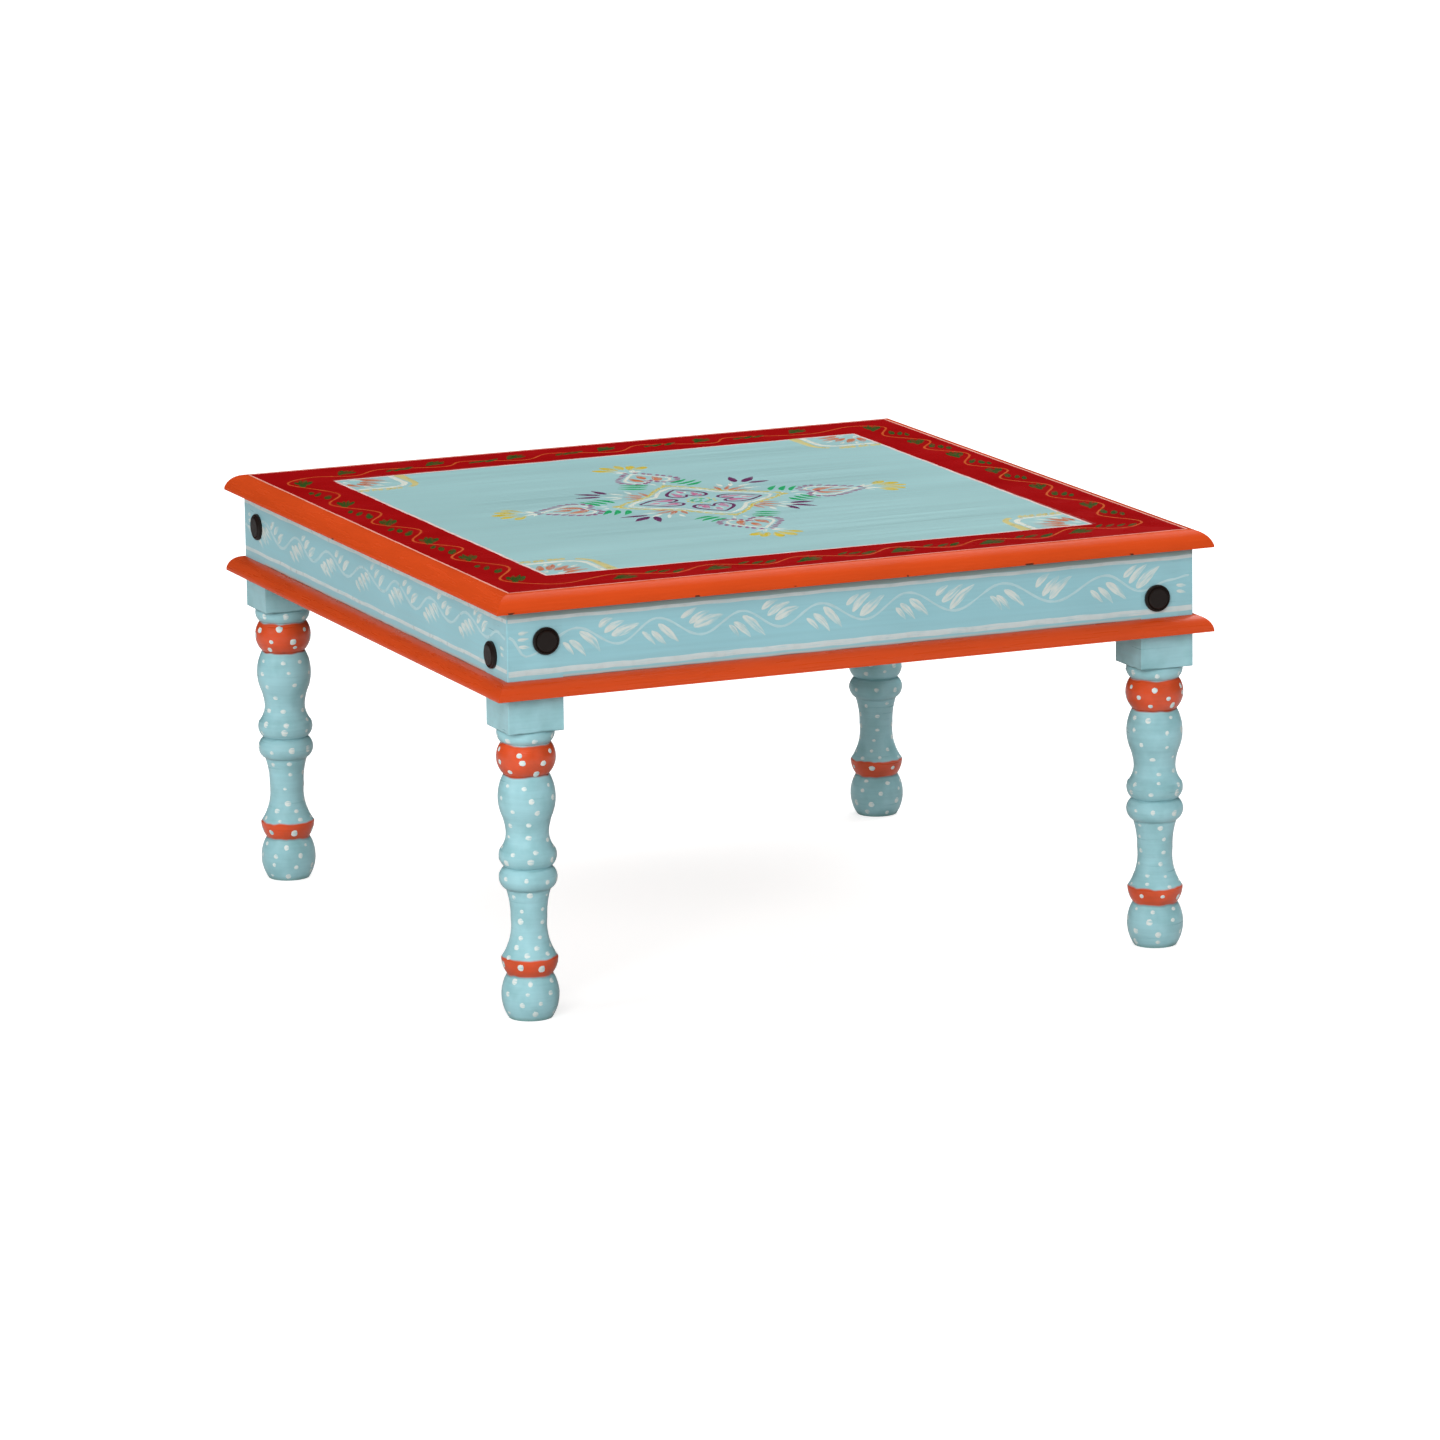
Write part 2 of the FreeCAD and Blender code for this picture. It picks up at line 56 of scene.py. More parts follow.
def corners_mm(node):
    """Lowest and highest corner of a piece's box, in millimetres."""
    return [[round(part / MM, 3) for part in corner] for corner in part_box(node)]


# Sizes that the paint follows, in millimetres, read from the solids
rail_low, rail_high = corners_mm("rail_front")
top_high = corners_mm("top_frame_front")[1]
TOP = top_high[2]
APRON = -rail_low[1]
APRON_FOOT = rail_low[2]
APRON_HEAD = rail_high[2]
# Width of the top's rounded edge, and how far out its flat goes
EDGE_ROUND = 18
FLAT_EDGE = top_high[0] - EDGE_ROUND
FRONT, RIGHT, BACK, LEFT = range(4)
# Signs of x and y at the corners, round the table from the front left one
CORNER_WAYS = ((-1, -1), (1, -1), (1, 1), (-1, 1))
# The painted panel is not quite square: the red laps onto its boards at the right and at the back
PANEL_CORNERS = [(-278.0, -277.0), (272.5, -277.0), (277.5, 276.0), (-278.0, 269.5)]


def linear(code):
    """sRGB hex to a linear colour."""
    parts = [int(code[at:at + 2], 16) / 255 for at in (1, 3, 5)]
    return (*[part / 12.92 if part <= 0.04045 else ((part + 0.055) / 1.055) ** 2.4 for part in parts], 1.0)


def add(tree, kind, links=(), operation=None, **settings):
    """Adds a node with its settings, and gives its first output in use; links lists the first inputs, or
    holds inputs by name or number, each a socket or a value."""
    node = tree.nodes.new(kind)
    if operation:
        node.operation = operation
    for name, value in settings.items():
        setattr(node, name, value)
    for key, value in links.items() if isinstance(links, dict) else enumerate(links):
        if isinstance(key, int):
            socket = node.inputs[key]
        else:
            socket = next(each for each in node.inputs if each.name == key and each.enabled)
        if isinstance(value, bpy.types.NodeSocket):
            tree.links.new(value, socket)
        else:
            socket.default_value = value
    return next((out for out in node.outputs if out.enabled), None)


# Kinds of node that come up most
MATH = "ShaderNodeMath"
VECTOR = "ShaderNodeVectorMath"
NOISE = "ShaderNodeTexNoise"
MIX = "ShaderNodeMix"
SPLIT = "ShaderNodeSeparateXYZ"
JOIN = "ShaderNodeCombineXYZ"
STORE = "GeometryNodeStoreNamedAttribute"
SMOOTH = "GeometryNodeSetShadeSmooth"
# Inputs 1 and 2 of a range are the ends that the value comes between, 3 and 4 the ends that it is brought to
RANGE = "ShaderNodeMapRange"


# Finishes

BLUE = "#8FC0C9"
PANEL_BLUE = "#9FC8CA"
RED = "#A00C0F"
ORANGE = "#CC481B"
LEG_BLUE = "#99C7CE"
LEG_ORANGE = "#D64E25"
THIN_BLUE = "#83AFA9"
# Painted shade in the grooves of the turned legs
GROOVE_SHADE_BLUE = "#6A9298"
# Painted shade under the top's overhang, greyer up towards its lip
EAVES_SHADE_BLUE = "#8BA2A0"
EAVES_SHADE_GREY = "#7C8C8A"
WOOD_PALE = "#A97F4F"
WOOD_DARK = "#7A5230"
CHIP_BROWN = "#5B2C1B"
# Noise keeps mostly between these values
NOISE_LOW, NOISE_HIGH = 0.3, 0.7
# Depth of a brush streak in mm, deeper than real so that it shows
STREAK_DEPTH = 0.2
# How much smoother and how much rougher than its own value a finish gets from streak to streak
SMOOTHER, ROUGHER = 0.05, 0.08
COAT_ROUGHNESS = 0.2


def grain(along, length, width):
    """Sizes in mm of marks that run along X, which is 0, or along Y, which is 1."""
    sizes = [width, width, width]
    sizes[along] = length
    return sizes


def scale_of(sizes):
    """Scale of a pattern whose marks have these sizes in mm."""
    return [1 / (size * MM) for size in sizes]


def wood_colour(tree, place, along):
    """Planed mango wood: long brown figure with fine darker pores along the board."""
    stretch = scale_of(grain(along, length=400, width=12))
    laid = add(tree, "ShaderNodeMapping", {"Vector": place, "Scale": stretch})
    figure = add(tree, NOISE, {"Vector": laid, "Scale": 1.0, "Detail": 4.0, "Distortion": 0.6})
    brown = add(tree, "ShaderNodeValToRGB", {"Fac": figure})
    steps = brown.node.color_ramp.elements
    for number, (spot, code) in enumerate(((NOISE_LOW, WOOD_DARK), (NOISE_HIGH, WOOD_PALE))):
        steps[number].position = spot
        steps[number].color = linear(code)
    return brown


def finish(name, colour_of, streak_mm, rough, relief=0.25, coat=0.15, gloss=0.5, patch_mm=(90, 90, 90),
           uneven=0.07):
    """A brushed finish: the colour given for the place on the piece, with streaks and slower patches of these
    sizes along X, Y and Z, and a sheen that follows the streaks."""
    material = bpy.data.materials.new(name)
    material.use_nodes = True
    tree = material.node_tree
    shader = tree.nodes["Principled BSDF"]
    place = add(tree, "ShaderNodeTexCoord").node.outputs["Object"]
    marks = []
    for sizes, detail in ((streak_mm, 3.0), (patch_mm, 2.0)):
        laid = add(tree, "ShaderNodeMapping", {"Vector": place, "Scale": scale_of(sizes)})
        marks.append(add(tree, NOISE, {"Vector": laid, "Scale": 1.0, "Detail": detail}))
    streak, patch = marks
    both = add(tree, MATH, [streak, patch], "ADD")
    value = add(tree, RANGE, {"Value": both, 1: 2 * NOISE_LOW, 2: 2 * NOISE_HIGH,
                              3: 1 - uneven, 4: 1 + uneven})
    tone = add(tree, "ShaderNodeHueSaturation", {"Color": colour_of(tree, place), "Value": value})
    sheen = add(tree, RANGE, {"Value": streak, 1: NOISE_LOW, 2: NOISE_HIGH,
                              3: rough - SMOOTHER, 4: rough + ROUGHER})
    bump = add(tree, "ShaderNodeBump", {"Height": streak, "Strength": relief, "Distance": STREAK_DEPTH * MM})
    for label, socket in (("Base Color", tone), ("Roughness", sheen), ("Normal", bump)):
        tree.links.new(socket, shader.inputs[label])
    shader.inputs["Specular IOR Level"].default_value = gloss
    shader.inputs["Coat Weight"].default_value = coat
    shader.inputs["Coat Roughness"].default_value = COAT_ROUGHNESS
    return material


def plain(code):
    """Colour picker of a finish that is one colour all over."""
    return lambda tree, place: linear(code)


def waver(tree, place, value, wave_mm, size_mm, detail):
    """A distance with the waver of a hand-painted edge, of this size over waves of this length."""
    shake = add(tree, NOISE, {"Vector": place, "Scale": 1 / (wave_mm * MM), "Detail": detail})
    shift = add(tree, MATH, [shake, size_mm * MM, -0.5 * size_mm * MM], "MULTIPLY_ADD")
    return add(tree, MATH, [value, shift], "ADD")


def reach_from_middle(tree, place, waver_mm):
    """How far out from the table's middle a point lies, wavering as a hand does, and its height."""
    split = add(tree, SPLIT, [place]).node.outputs
    wide = add(tree, MATH, [split[0]], "ABSOLUTE")
    deep = add(tree, MATH, [split[1]], "ABSOLUTE")
    reach = add(tree, MATH, [wide, deep], "MAXIMUM")
    return waver(tree, place, reach, wave_mm=30, size_mm=waver_mm, detail=2.0), split[2]


# How far in mm the paint of a face goes over its edges, and how far the red stops short of the flat's end
PANEL_COAT = 0.5
BORDER_COAT = 1.2
APRON_COAT = 1.0
RED_SHORT = 1.5
# Chips on the top's lip: their size in mm, how rare they are, and how far up the lip they reach
CHIP_SIZE = 16
CHIP_RARE = 0.69
CHIP_HIGH = 1.6


def panel_colour(tree, place):
    """Aqua blue over the panel's face, the border's red lapping over its right and back edges, and bare
    boards below."""
    split = add(tree, SPLIT, [place]).node.outputs
    _, (x1, y1), (x2, y2), (x3, y3) = PANEL_CORNERS
    past = []
    for own, other, (a, p), (b, q) in ((0, 1, (y1, x1), (y2, x2)), (1, 0, (x3, y3), (x2, y2))):
        slope = (q - p) / (b - a)
        edge = add(tree, MATH, [split[other], slope, (p - slope * a) * MM], "MULTIPLY_ADD")
        past.append(add(tree, MATH, [split[own], edge], "GREATER_THAN"))
    lap = add(tree, MATH, [past[0], past[1]], "MAXIMUM")
    top = add(tree, MIX, {"Factor": lap, "A": linear(PANEL_BLUE), "B": linear(RED)}, data_type="RGBA")
    face = add(tree, MATH, [split[2], (TOP - PANEL_COAT) * MM], "GREATER_THAN")
    return add(tree, MIX, {"Factor": face, "A": wood_colour(tree, place, 0), "B": top}, data_type="RGBA")


def border_colour(tree, place):
    """Deep red on the flat of the frame, orange round its edge with a few chips on the lower lip, bare wood
    inside the apron."""
    reach, height = reach_from_middle(tree, place, 0.8)
    out = add(tree, MATH, [reach, (APRON - APRON_COAT) * MM], "GREATER_THAN")
    face = add(tree, MATH, [height, (TOP - BORDER_COAT) * MM], "GREATER_THAN")
    coated = add(tree, MATH, [out, face], "MAXIMUM")
    skin = add(tree, MIX, {"Factor": coated, "A": wood_colour(tree, place, 0), "B": linear(ORANGE)},
               data_type="RGBA")
    knock = add(tree, NOISE, {"Vector": place, "Scale": 1 / (CHIP_SIZE * MM), "Detail": 2.0})
    knock = add(tree, MATH, [knock, CHIP_RARE], "GREATER_THAN")
    lip = add(tree, MATH, [height, (APRON_HEAD + CHIP_HIGH) * MM], "LESS_THAN")
    chip = add(tree, MATH, [knock, lip], "MULTIPLY")
    skin = add(tree, MIX, {"Factor": chip, "A": skin, "B": linear(CHIP_BROWN)}, data_type="RGBA")
    inside = add(tree, MATH, [reach, (FLAT_EDGE - RED_SHORT) * MM], "LESS_THAN")
    red = add(tree, MATH, [face, inside], "MULTIPLY")
    return add(tree, MIX, {"Factor": red, "A": skin, "B": linear(RED)}, data_type="RGBA")


def banded(tree, place, bands, low, high, wave_mm, waver_mm):
    """Colours that change with the height, between low and high, their edges wavering as the brush went
    along."""
    height = add(tree, SPLIT, [place]).node.outputs[2]
    level = waver(tree, place, height, wave_mm, waver_mm, detail=1.0)
    share = add(tree, RANGE, {"Value": level, 1: low * MM, 2: high * MM})
    ramp = add(tree, "ShaderNodeValToRGB", {"Fac": share})
    steps = ramp.node.color_ramp.elements
    for number, (band, code) in enumerate(bands):
        spot = (band - low) / (high - low)
        step = steps[number] if number < 2 else steps.new(spot)
        step.position = spot
        step.color = linear(code)
    return ramp


# Heights on the apron where its colour changes; at the lower joint the filler shows, and under the top's
# overhang the blue turns to painted shade
APRON_BANDS = [
    (319.0, "#5E6664"), (319.7, "#A9B0AE"), (320.6, "#B2BAB8"), (321.6, BLUE), (375.4, BLUE),
    (376.8, EAVES_SHADE_BLUE), (384.0, EAVES_SHADE_GREY),
]


def apron_colour(along):
    def colour(tree, place):
        """Light blue on the outer face of a rail, bare wood inside."""
        reach, _ = reach_from_middle(tree, place, 0.0)
        out = add(tree, MATH, [reach, (APRON - APRON_COAT) * MM], "GREATER_THAN")
        skin = banded(tree, place, APRON_BANDS, APRON_FOOT, APRON_HEAD, wave_mm=40, waver_mm=1.6)
        return add(tree, MIX, {"Factor": out, "A": wood_colour(tree, place, along), "B": skin},
                   data_type="RGBA")
    return colour


# Heights on the leg, from the floor, where the painter changed colour; the grooves and a step get darker
# bands of painted shade, and the post under the top's overhang gets the apron's painted shade
LEG_BANDS = [
    (0, "#7FA9A6"), (4, LEG_BLUE), (40.0, LEG_BLUE), (41.0, "#5F7F80"), (42.0, LEG_ORANGE),
    (57.2, LEG_ORANGE), (58.0, LEG_BLUE), (119.4, LEG_BLUE), (120.6, "#6F979C"), (121.8, LEG_BLUE),
    (140.6, LEG_BLUE), (141.5, GROOVE_SHADE_BLUE), (142.4, LEG_BLUE), (226.6, LEG_BLUE), (227.4, LEG_ORANGE),
    (228.2, "#8C3418"), (229.2, LEG_ORANGE), (256.4, LEG_ORANGE), (257.2, "#7A4230"), (258.2, LEG_BLUE),
    (269.2, LEG_BLUE), (270.0, GROOVE_SHADE_BLUE), (271.0, LEG_BLUE), (304.0, LEG_BLUE), (305.0, BLUE),
    (375.4, BLUE), (376.8, EAVES_SHADE_BLUE), (384.0, EAVES_SHADE_GREY),
]
# Thin patches of a leg's coat: size in mm, noise where they begin and are thinnest, and how green they get
THIN_PATCH, THIN_FROM, THIN_FULL, THIN_MOST = 22, 0.42, 0.75, 0.32


def leg_colour(tree, place):
    """Light blue with orange on the ball and the ring; the blue is greener where the coat is thin."""
    bands = banded(tree, place, LEG_BANDS, 0, APRON_HEAD, wave_mm=14, waver_mm=3.6)
    thin = add(tree, NOISE, {"Vector": place, "Scale": 1 / (THIN_PATCH * MM), "Detail": 3.0})
    thin = add(tree, RANGE, {"Value": thin, 1: THIN_FROM, 2: THIN_FULL, 3: 0.0, 4: THIN_MOST})
    height = add(tree, SPLIT, [place]).node.outputs[2]
    turned = add(tree, MATH, [height, APRON_FOOT * MM], "LESS_THAN")
    thin = add(tree, MATH, [thin, turned], "MULTIPLY")
    return add(tree, MIX, {"Factor": thin, "A": bands, "B": linear(THIN_BLUE)}, data_type="RGBA",
               blend_type="MULTIPLY")


# Alkyd enamel brushed over wood: soft satin, streaks along the grain, colour a little uneven
# The panel's long soft bands along X are partly uneven tone of the brushed coat and partly painted
# reflections of the lamps in it
panel_enamel = finish("aqua_enamel_on_boards", panel_colour, (260, 5, 5), 0.36, gloss=0.3,
                      patch_mm=(520, 46, 46), uneven=0.1)
border_enamel = finish("red_and_orange_enamel", border_colour, (60, 60, 4), 0.24, relief=0.08, coat=0.0,
                       gloss=0.04)
moulding_enamel = finish("orange_enamel", plain(ORANGE), (60, 60, 3), 0.28, relief=0.1, coat=0.0, gloss=0.25)
apron_enamel = [
    finish(name, apron_colour(along), grain(along, 160, 3), 0.40)
    for along, name in enumerate(("blue_enamel_along_x", "blue_enamel_along_y"))
]
leg_enamel = finish("banded_enamel_on_turning", leg_colour, (60, 60, 3), 0.32, coat=0.3,
                    patch_mm=(26, 26, 40), uneven=0.08)
# Planed mango wood left bare under the table: dry, brown, long figure
bare_wood = [
    finish(name, lambda tree, place: wood_colour(tree, place, along), grain(along, 90, 1.5), 0.7,
           relief=0.4, coat=0.0)
    for along, name in enumerate(("bare_mango_wood_x", "bare_mango_wood_y"))
]
# Forged iron, blacked: near black, faintly brown, uneven dull gloss
black_iron = finish("blacked_iron", plain("#1B1411"), (4, 4, 4), 0.4, relief=0.6, coat=0.0, gloss=0.3)
# Zinc-plated screw steel: bright grey, drawn marks
screw_steel = finish("zinc_plated_steel", plain("#9A9C9E"), (1, 1, 1), 0.35, relief=0.2, coat=0.0)
screw_steel.node_tree.nodes["Principled BSDF"].inputs["Metallic"].default_value = 1.0

# Bristle marks to a unit along and across a stroke, coarser than real so that they show
BRISTLES = (0.7, 2.4, 1.0)
# Paint lost where the brush lifts, and the least that stays on the coat below
LIFT_LOSS, LEAST_FILM = 0.3, 0.2


def brush_paint(name, code, under, cover):
    """Artist's enamel from a loaded brush: full where it was pressed, with the coat below showing between the
    bristle marks and where the brush lifted."""
    def colour(tree, place):
        hair = add(tree, "ShaderNodeAttribute", attribute_name="bristle").node.outputs["Vector"]
        lift = add(tree, "ShaderNodeAttribute", attribute_name="lift").node.outputs["Fac"]
        comb = add(tree, "ShaderNodeMapping", {"Vector": hair, "Scale": BRISTLES})
        drag = add(tree, NOISE, {"Vector": comb, "Scale": 1.0, "Detail": 2.0})
        film = add(tree, MATH, [lift, -LIFT_LOSS, drag], "MULTIPLY_ADD")
        load = add(tree, RANGE, {"Value": film, 1: 0.6 - 0.5 * cover, 2: 0.85 - 0.5 * cover,
                                 3: LEAST_FILM, 4: 1.0})
        return add(tree, MIX, {"Factor": load, "A": linear(under), "B": linear(code)}, data_type="RGBA")
    return finish(name, colour, (9, 9, 9), 0.3, relief=0.3, coat=0.0, gloss=0.16)


# Artist's enamel in the painter's colours: thick and streaky, with a faint gloss
apron_white = brush_paint("white_brush_paint_on_blue", "#CAD3CE", BLUE, 0.82)
line_white = brush_paint("white_line_paint", "#C1CECE", BLUE, 0.95)
vine_white = brush_paint("thin_white_vine_paint", "#AECBCF", BLUE, 0.9)
dot_white = brush_paint("white_dot_paint", "#D9E0DC", BLUE, 0.95)
pink_white = brush_paint("pinkish_white_line_paint", "#E6CFCB", RED, 1.0)
# Pink line at the end of the flat: a painted line whose colour and width also carry a painted highlight of
# the rounded edge
pink_line_with_highlight = brush_paint("pink_line_paint", "#EFA899", RED, 1.3)
vine_paint = brush_paint("orange_brush_paint", "#C65624", RED, 1.2)
leaf_paint = brush_paint("dark_green_brush_paint", "#2A4E18", RED, 1.0)
panel_paints = {
    paint: brush_paint(name, code, PANEL_BLUE, cover) for paint, name, code, cover in (
        ("white", "white_brush_paint_on_aqua", "#DDDFD3", 0.86),
        ("yellow", "yellow_brush_paint", "#D0B932", 0.9),
        ("straw", "straw_brush_paint", "#CDC07C", 0.9),
        ("purple", "plum_brush_paint", "#67305C", 1.25),
        ("mauve", "mauve_brush_paint", "#92527A", 1.0),
        ("pink", "pink_brush_paint", "#C06490", 0.95),
        ("green", "green_brush_paint", "#22A565", 1.2),
        ("ember", "ember_brush_paint", "#C4714F", 0.95),
    )
}

FINISH_OF_SLOT = {
    "leg_paint": leg_enamel, "moulding_paint": moulding_enamel, "border_paint": border_enamel,
    "panel_paint": panel_enamel, "black_iron": black_iron, "screw_steel": screw_steel,
}
# Slots whose finish follows the grain: along X or along Y
GRAINED_SLOT = {"apron_paint": apron_enamel, "bare_wood": bare_wood}
for part in frame["record"]["subparts"]:
    node, slot = part["node"], part["material_slot"]
    across = node.endswith(("_left", "_right")) or "batten" in node
    look = GRAINED_SLOT[slot][across] if slot in GRAINED_SLOT else FINISH_OF_SLOT[slot]
    for holder in frame["nodes"][node].material_slots:
        holder.material = look


# Brush marks: node trees

# A dab is a ball of so many sides and rings, flattened, and sunk into the coat below by a share of its relief
DAB_SIDES = 18
DAB_RINGS = 4
DAB_SUNK = 0.3
# Pressure of the brush from where it lands to where it lifts: share of the dab's length, share of its width
PRESSURE = [(0.0, 0.9), (0.25, 1.0), (0.7, 0.72), (1.0, 0.25)]
LINE_SIDES = 8
# Length in mm of one unit of the bristle marks, along a dab and along a line
DAB_BRISTLE, LINE_BRISTLE = 10, 20


def painter_tree(name, sizes):
    tree = bpy.data.node_groups.new(name, "GeometryNodeTree")
    tree.interface.new_socket("Geometry", in_out="INPUT", socket_type="NodeSocketGeometry")
    for label, kind in sizes:
        tree.interface.new_socket(label, in_out="INPUT", socket_type=kind)
    tree.interface.new_socket("Geometry", in_out="OUTPUT", socket_type="NodeSocketGeometry")
    return tree


def marks_on_points(tree, vectors, numbers):
    """The marks that the points carry, by name."""
    found = {}
    for kind, names in (("FLOAT_VECTOR", vectors), ("FLOAT", numbers)):
        for name in names:
            found[name] = add(tree, "GeometryNodeInputNamedAttribute", {"Name": name}, data_type=kind)
    return found


def end_tree(tree, film, rim, paint):
    """Leaves the film smooth with a hard rim, as plain mesh in its paint."""
    film = add(tree, SMOOTH, {"Geometry": film, "Shade Smooth": True})
    film = add(tree, SMOOTH, {"Geometry": film, "Selection": rim, "Shade Smooth": False}, domain="EDGE")
    film = add(tree, "GeometryNodeRealizeInstances", {"Geometry": film})
    film = add(tree, "GeometryNodeSetMaterial", {"Geometry": film, "Material": paint})
    add(tree, "NodeGroupOutput", {"Geometry": film})


def dab_tree():
    """One dab of paint on every point: a flattened drop, as long and wide as the point says, broad where the
    brush was pressed and narrow where it lifted, with an edge that is never quite even."""
    tree = painter_tree("brush_dabs", [
        ("Relief", "NodeSocketFloat"), ("Taper", "NodeSocketFloat"), ("Uneven", "NodeSocketFloat"),
        ("Finish", "NodeSocketMaterial"),
    ])
    given = add(tree, "NodeGroupInput").node.outputs
    drop = add(tree, "GeometryNodeMeshUVSphere", {"Segments": DAB_SIDES, "Rings": DAB_RINGS, "Radius": 1.0})
    spot = add(tree, "GeometryNodeInputPosition")
    drop = add(tree, STORE, {"Geometry": drop, "Name": "local", "Value": spot}, data_type="FLOAT_VECTOR")
    laid = add(tree, "GeometryNodeInstanceOnPoints", {"Points": given["Geometry"], "Instance": drop})
    laid = add(tree, "GeometryNodeRealizeInstances", {"Geometry": laid})
    mark = marks_on_points(tree, ("local", "heading", "facing"),
                           ("length", "width", "bend", "bulge", "stroke"))
    local = add(tree, SPLIT, [mark["local"]]).node.outputs
    # Width at this share of the length, narrower as the brush lifts
    share = add(tree, MATH, [local[0], 0.5, 0.5], "MULTIPLY_ADD")
    press = add(tree, "ShaderNodeFloatCurve", {"Value": share})
    curve = press.node.mapping.curves[0].points
    curve[0].location, curve[1].location = PRESSURE[0], PRESSURE[-1]
    for where, force in PRESSURE[1:-1]:
        curve.new(where, force)
    press.node.mapping.update()
    slack = add(tree, MATH, [press, 1.0], "SUBTRACT")
    pinch = add(tree, MATH, [slack, given["Taper"], 1.0], "MULTIPLY_ADD")
    # Ragged edge, each stroke with its own
    own = add(tree, JOIN, {"X": mark["stroke"]})
    own = add(tree, VECTOR, [own, mark["local"]], "ADD")
    rag = add(tree, NOISE, {"Vector": own, "Scale": 1.7, "Detail": 1.0})
    rag = add(tree, MATH, [rag, 0.5], "SUBTRACT")
    rag = add(tree, MATH, [rag, given["Uneven"], 1.0], "MULTIPLY_ADD")
    half_long = add(tree, MATH, [mark["length"], 0.5], "MULTIPLY")
    half_wide = add(tree, MATH, [mark["width"], 0.5], "MULTIPLY")
    half_wide = add(tree, MATH, [half_wide, rag], "MULTIPLY")
    along = add(tree, MATH, [local[0], half_long], "MULTIPLY")
    spread = add(tree, MATH, [local[1], half_wide], "MULTIPLY")
    spread = add(tree, MATH, [spread, pinch], "MULTIPLY")
    # Bow of a bent stroke, and the fall of its ends on a round piece
    square = add(tree, MATH, [local[0], local[0]], "MULTIPLY")
    bow = add(tree, MATH, [1.0, square], "SUBTRACT")
    bow = add(tree, MATH, [bow, mark["bend"]], "MULTIPLY")
    across = add(tree, MATH, [bow, mark["length"], spread], "MULTIPLY_ADD")
    fall = add(tree, MATH, [along, along], "MULTIPLY")
    fall = add(tree, MATH, [fall, mark["bulge"]], "MULTIPLY")
    rise = add(tree, MATH, [local[2], DAB_SUNK], "SUBTRACT")
    rise = add(tree, MATH, [rise, given["Relief"]], "MULTIPLY")
    rise = add(tree, MATH, [rise, fall], "SUBTRACT")
    side = add(tree, VECTOR, [mark["facing"], mark["heading"]], "CROSS_PRODUCT")
    place = add(tree, VECTOR, [spot, mark["local"]], "SUBTRACT")
    for way, amount in ((mark["heading"], along), (side, across), (mark["facing"], rise)):
        step = add(tree, VECTOR, {0: way, "Scale": amount}, "SCALE")
        place = add(tree, VECTOR, [place, step], "ADD")
    hair = add(tree, MATH, [along, DAB_BRISTLE * MM], "DIVIDE")
    hair = add(tree, JOIN, {"X": hair, "Y": local[1], "Z": mark["stroke"]})
    for name, value, kind in (("bristle", hair, "FLOAT_VECTOR"), ("lift", share, "FLOAT")):
        laid = add(tree, STORE, {"Geometry": laid, "Name": name, "Value": value}, data_type=kind)
    laid = add(tree, "GeometryNodeSetPosition", {"Geometry": laid, "Position": place})
    level = add(tree, MATH, [local[2]], "ABSOLUTE")
    rim = add(tree, MATH, [level, 0.1], "LESS_THAN")
    end_tree(tree, laid, rim, given["Finish"])
    return tree


def line_tree():
    """A painted line along every run of edges: a flattened cord of paint, as wide as each point says."""
    tree = painter_tree("brush_lines", [("Crown", "NodeSocketFloat"), ("Finish", "NodeSocketMaterial")])
    given = add(tree, "NodeGroupInput").node.outputs
    mark = marks_on_points(tree, ("facing",), ("width", "run", "edge"))
    half = add(tree, MATH, [mark["width"], 0.5], "MULTIPLY")
    run = add(tree, "GeometryNodeMeshToCurve", {"Mesh": given["Geometry"]})
    gone = add(tree, "GeometryNodeSplineParameter").node.outputs["Length"]
    run = add(tree, STORE, {"Geometry": run, "Name": "run", "Value": gone}, data_type="FLOAT")
    run = add(tree, "GeometryNodeSetCurveNormal", {"Curve": run, "Normal": mark["facing"]}, mode="FREE")
    run = add(tree, "GeometryNodeSetCurveRadius", {"Curve": run, "Radius": half})
    ring = add(tree, "GeometryNodeCurvePrimitiveCircle", {"Resolution": LINE_SIDES, "Radius": 1.0})
    spot = add(tree, "GeometryNodeInputPosition")
    rim = add(tree, SPLIT, [spot]).node.outputs[1]
    ring = add(tree, STORE, {"Geometry": ring, "Name": "edge", "Value": rim}, data_type="FLOAT")
    squeeze = add(tree, JOIN, {"X": given["Crown"], "Y": 1.0, "Z": 1.0})
    ring = add(tree, "GeometryNodeTransform", {"Geometry": ring, "Scale": squeeze})
    film = add(tree, "GeometryNodeCurveToMesh",
               {"Curve": run, "Profile Curve": ring, "Scale": half, "Fill Caps": True})
    hair = add(tree, MATH, [mark["run"], LINE_BRISTLE * MM], "DIVIDE")
    hair = add(tree, JOIN, {"X": hair, "Y": mark["edge"], "Z": 0.0})
    film = add(tree, STORE, {"Geometry": film, "Name": "bristle", "Value": hair}, data_type="FLOAT_VECTOR")
    away = add(tree, MATH, [mark["edge"]], "ABSOLUTE")
    rim = add(tree, MATH, [away, 0.9], "GREATER_THAN")
    end_tree(tree, film, rim, given["Finish"])
    return tree


DABS = dab_tree()
LINES = line_tree()
# Strokes are spread over this much of the noise, so that no two are alike
STROKE_SPREAD = 90


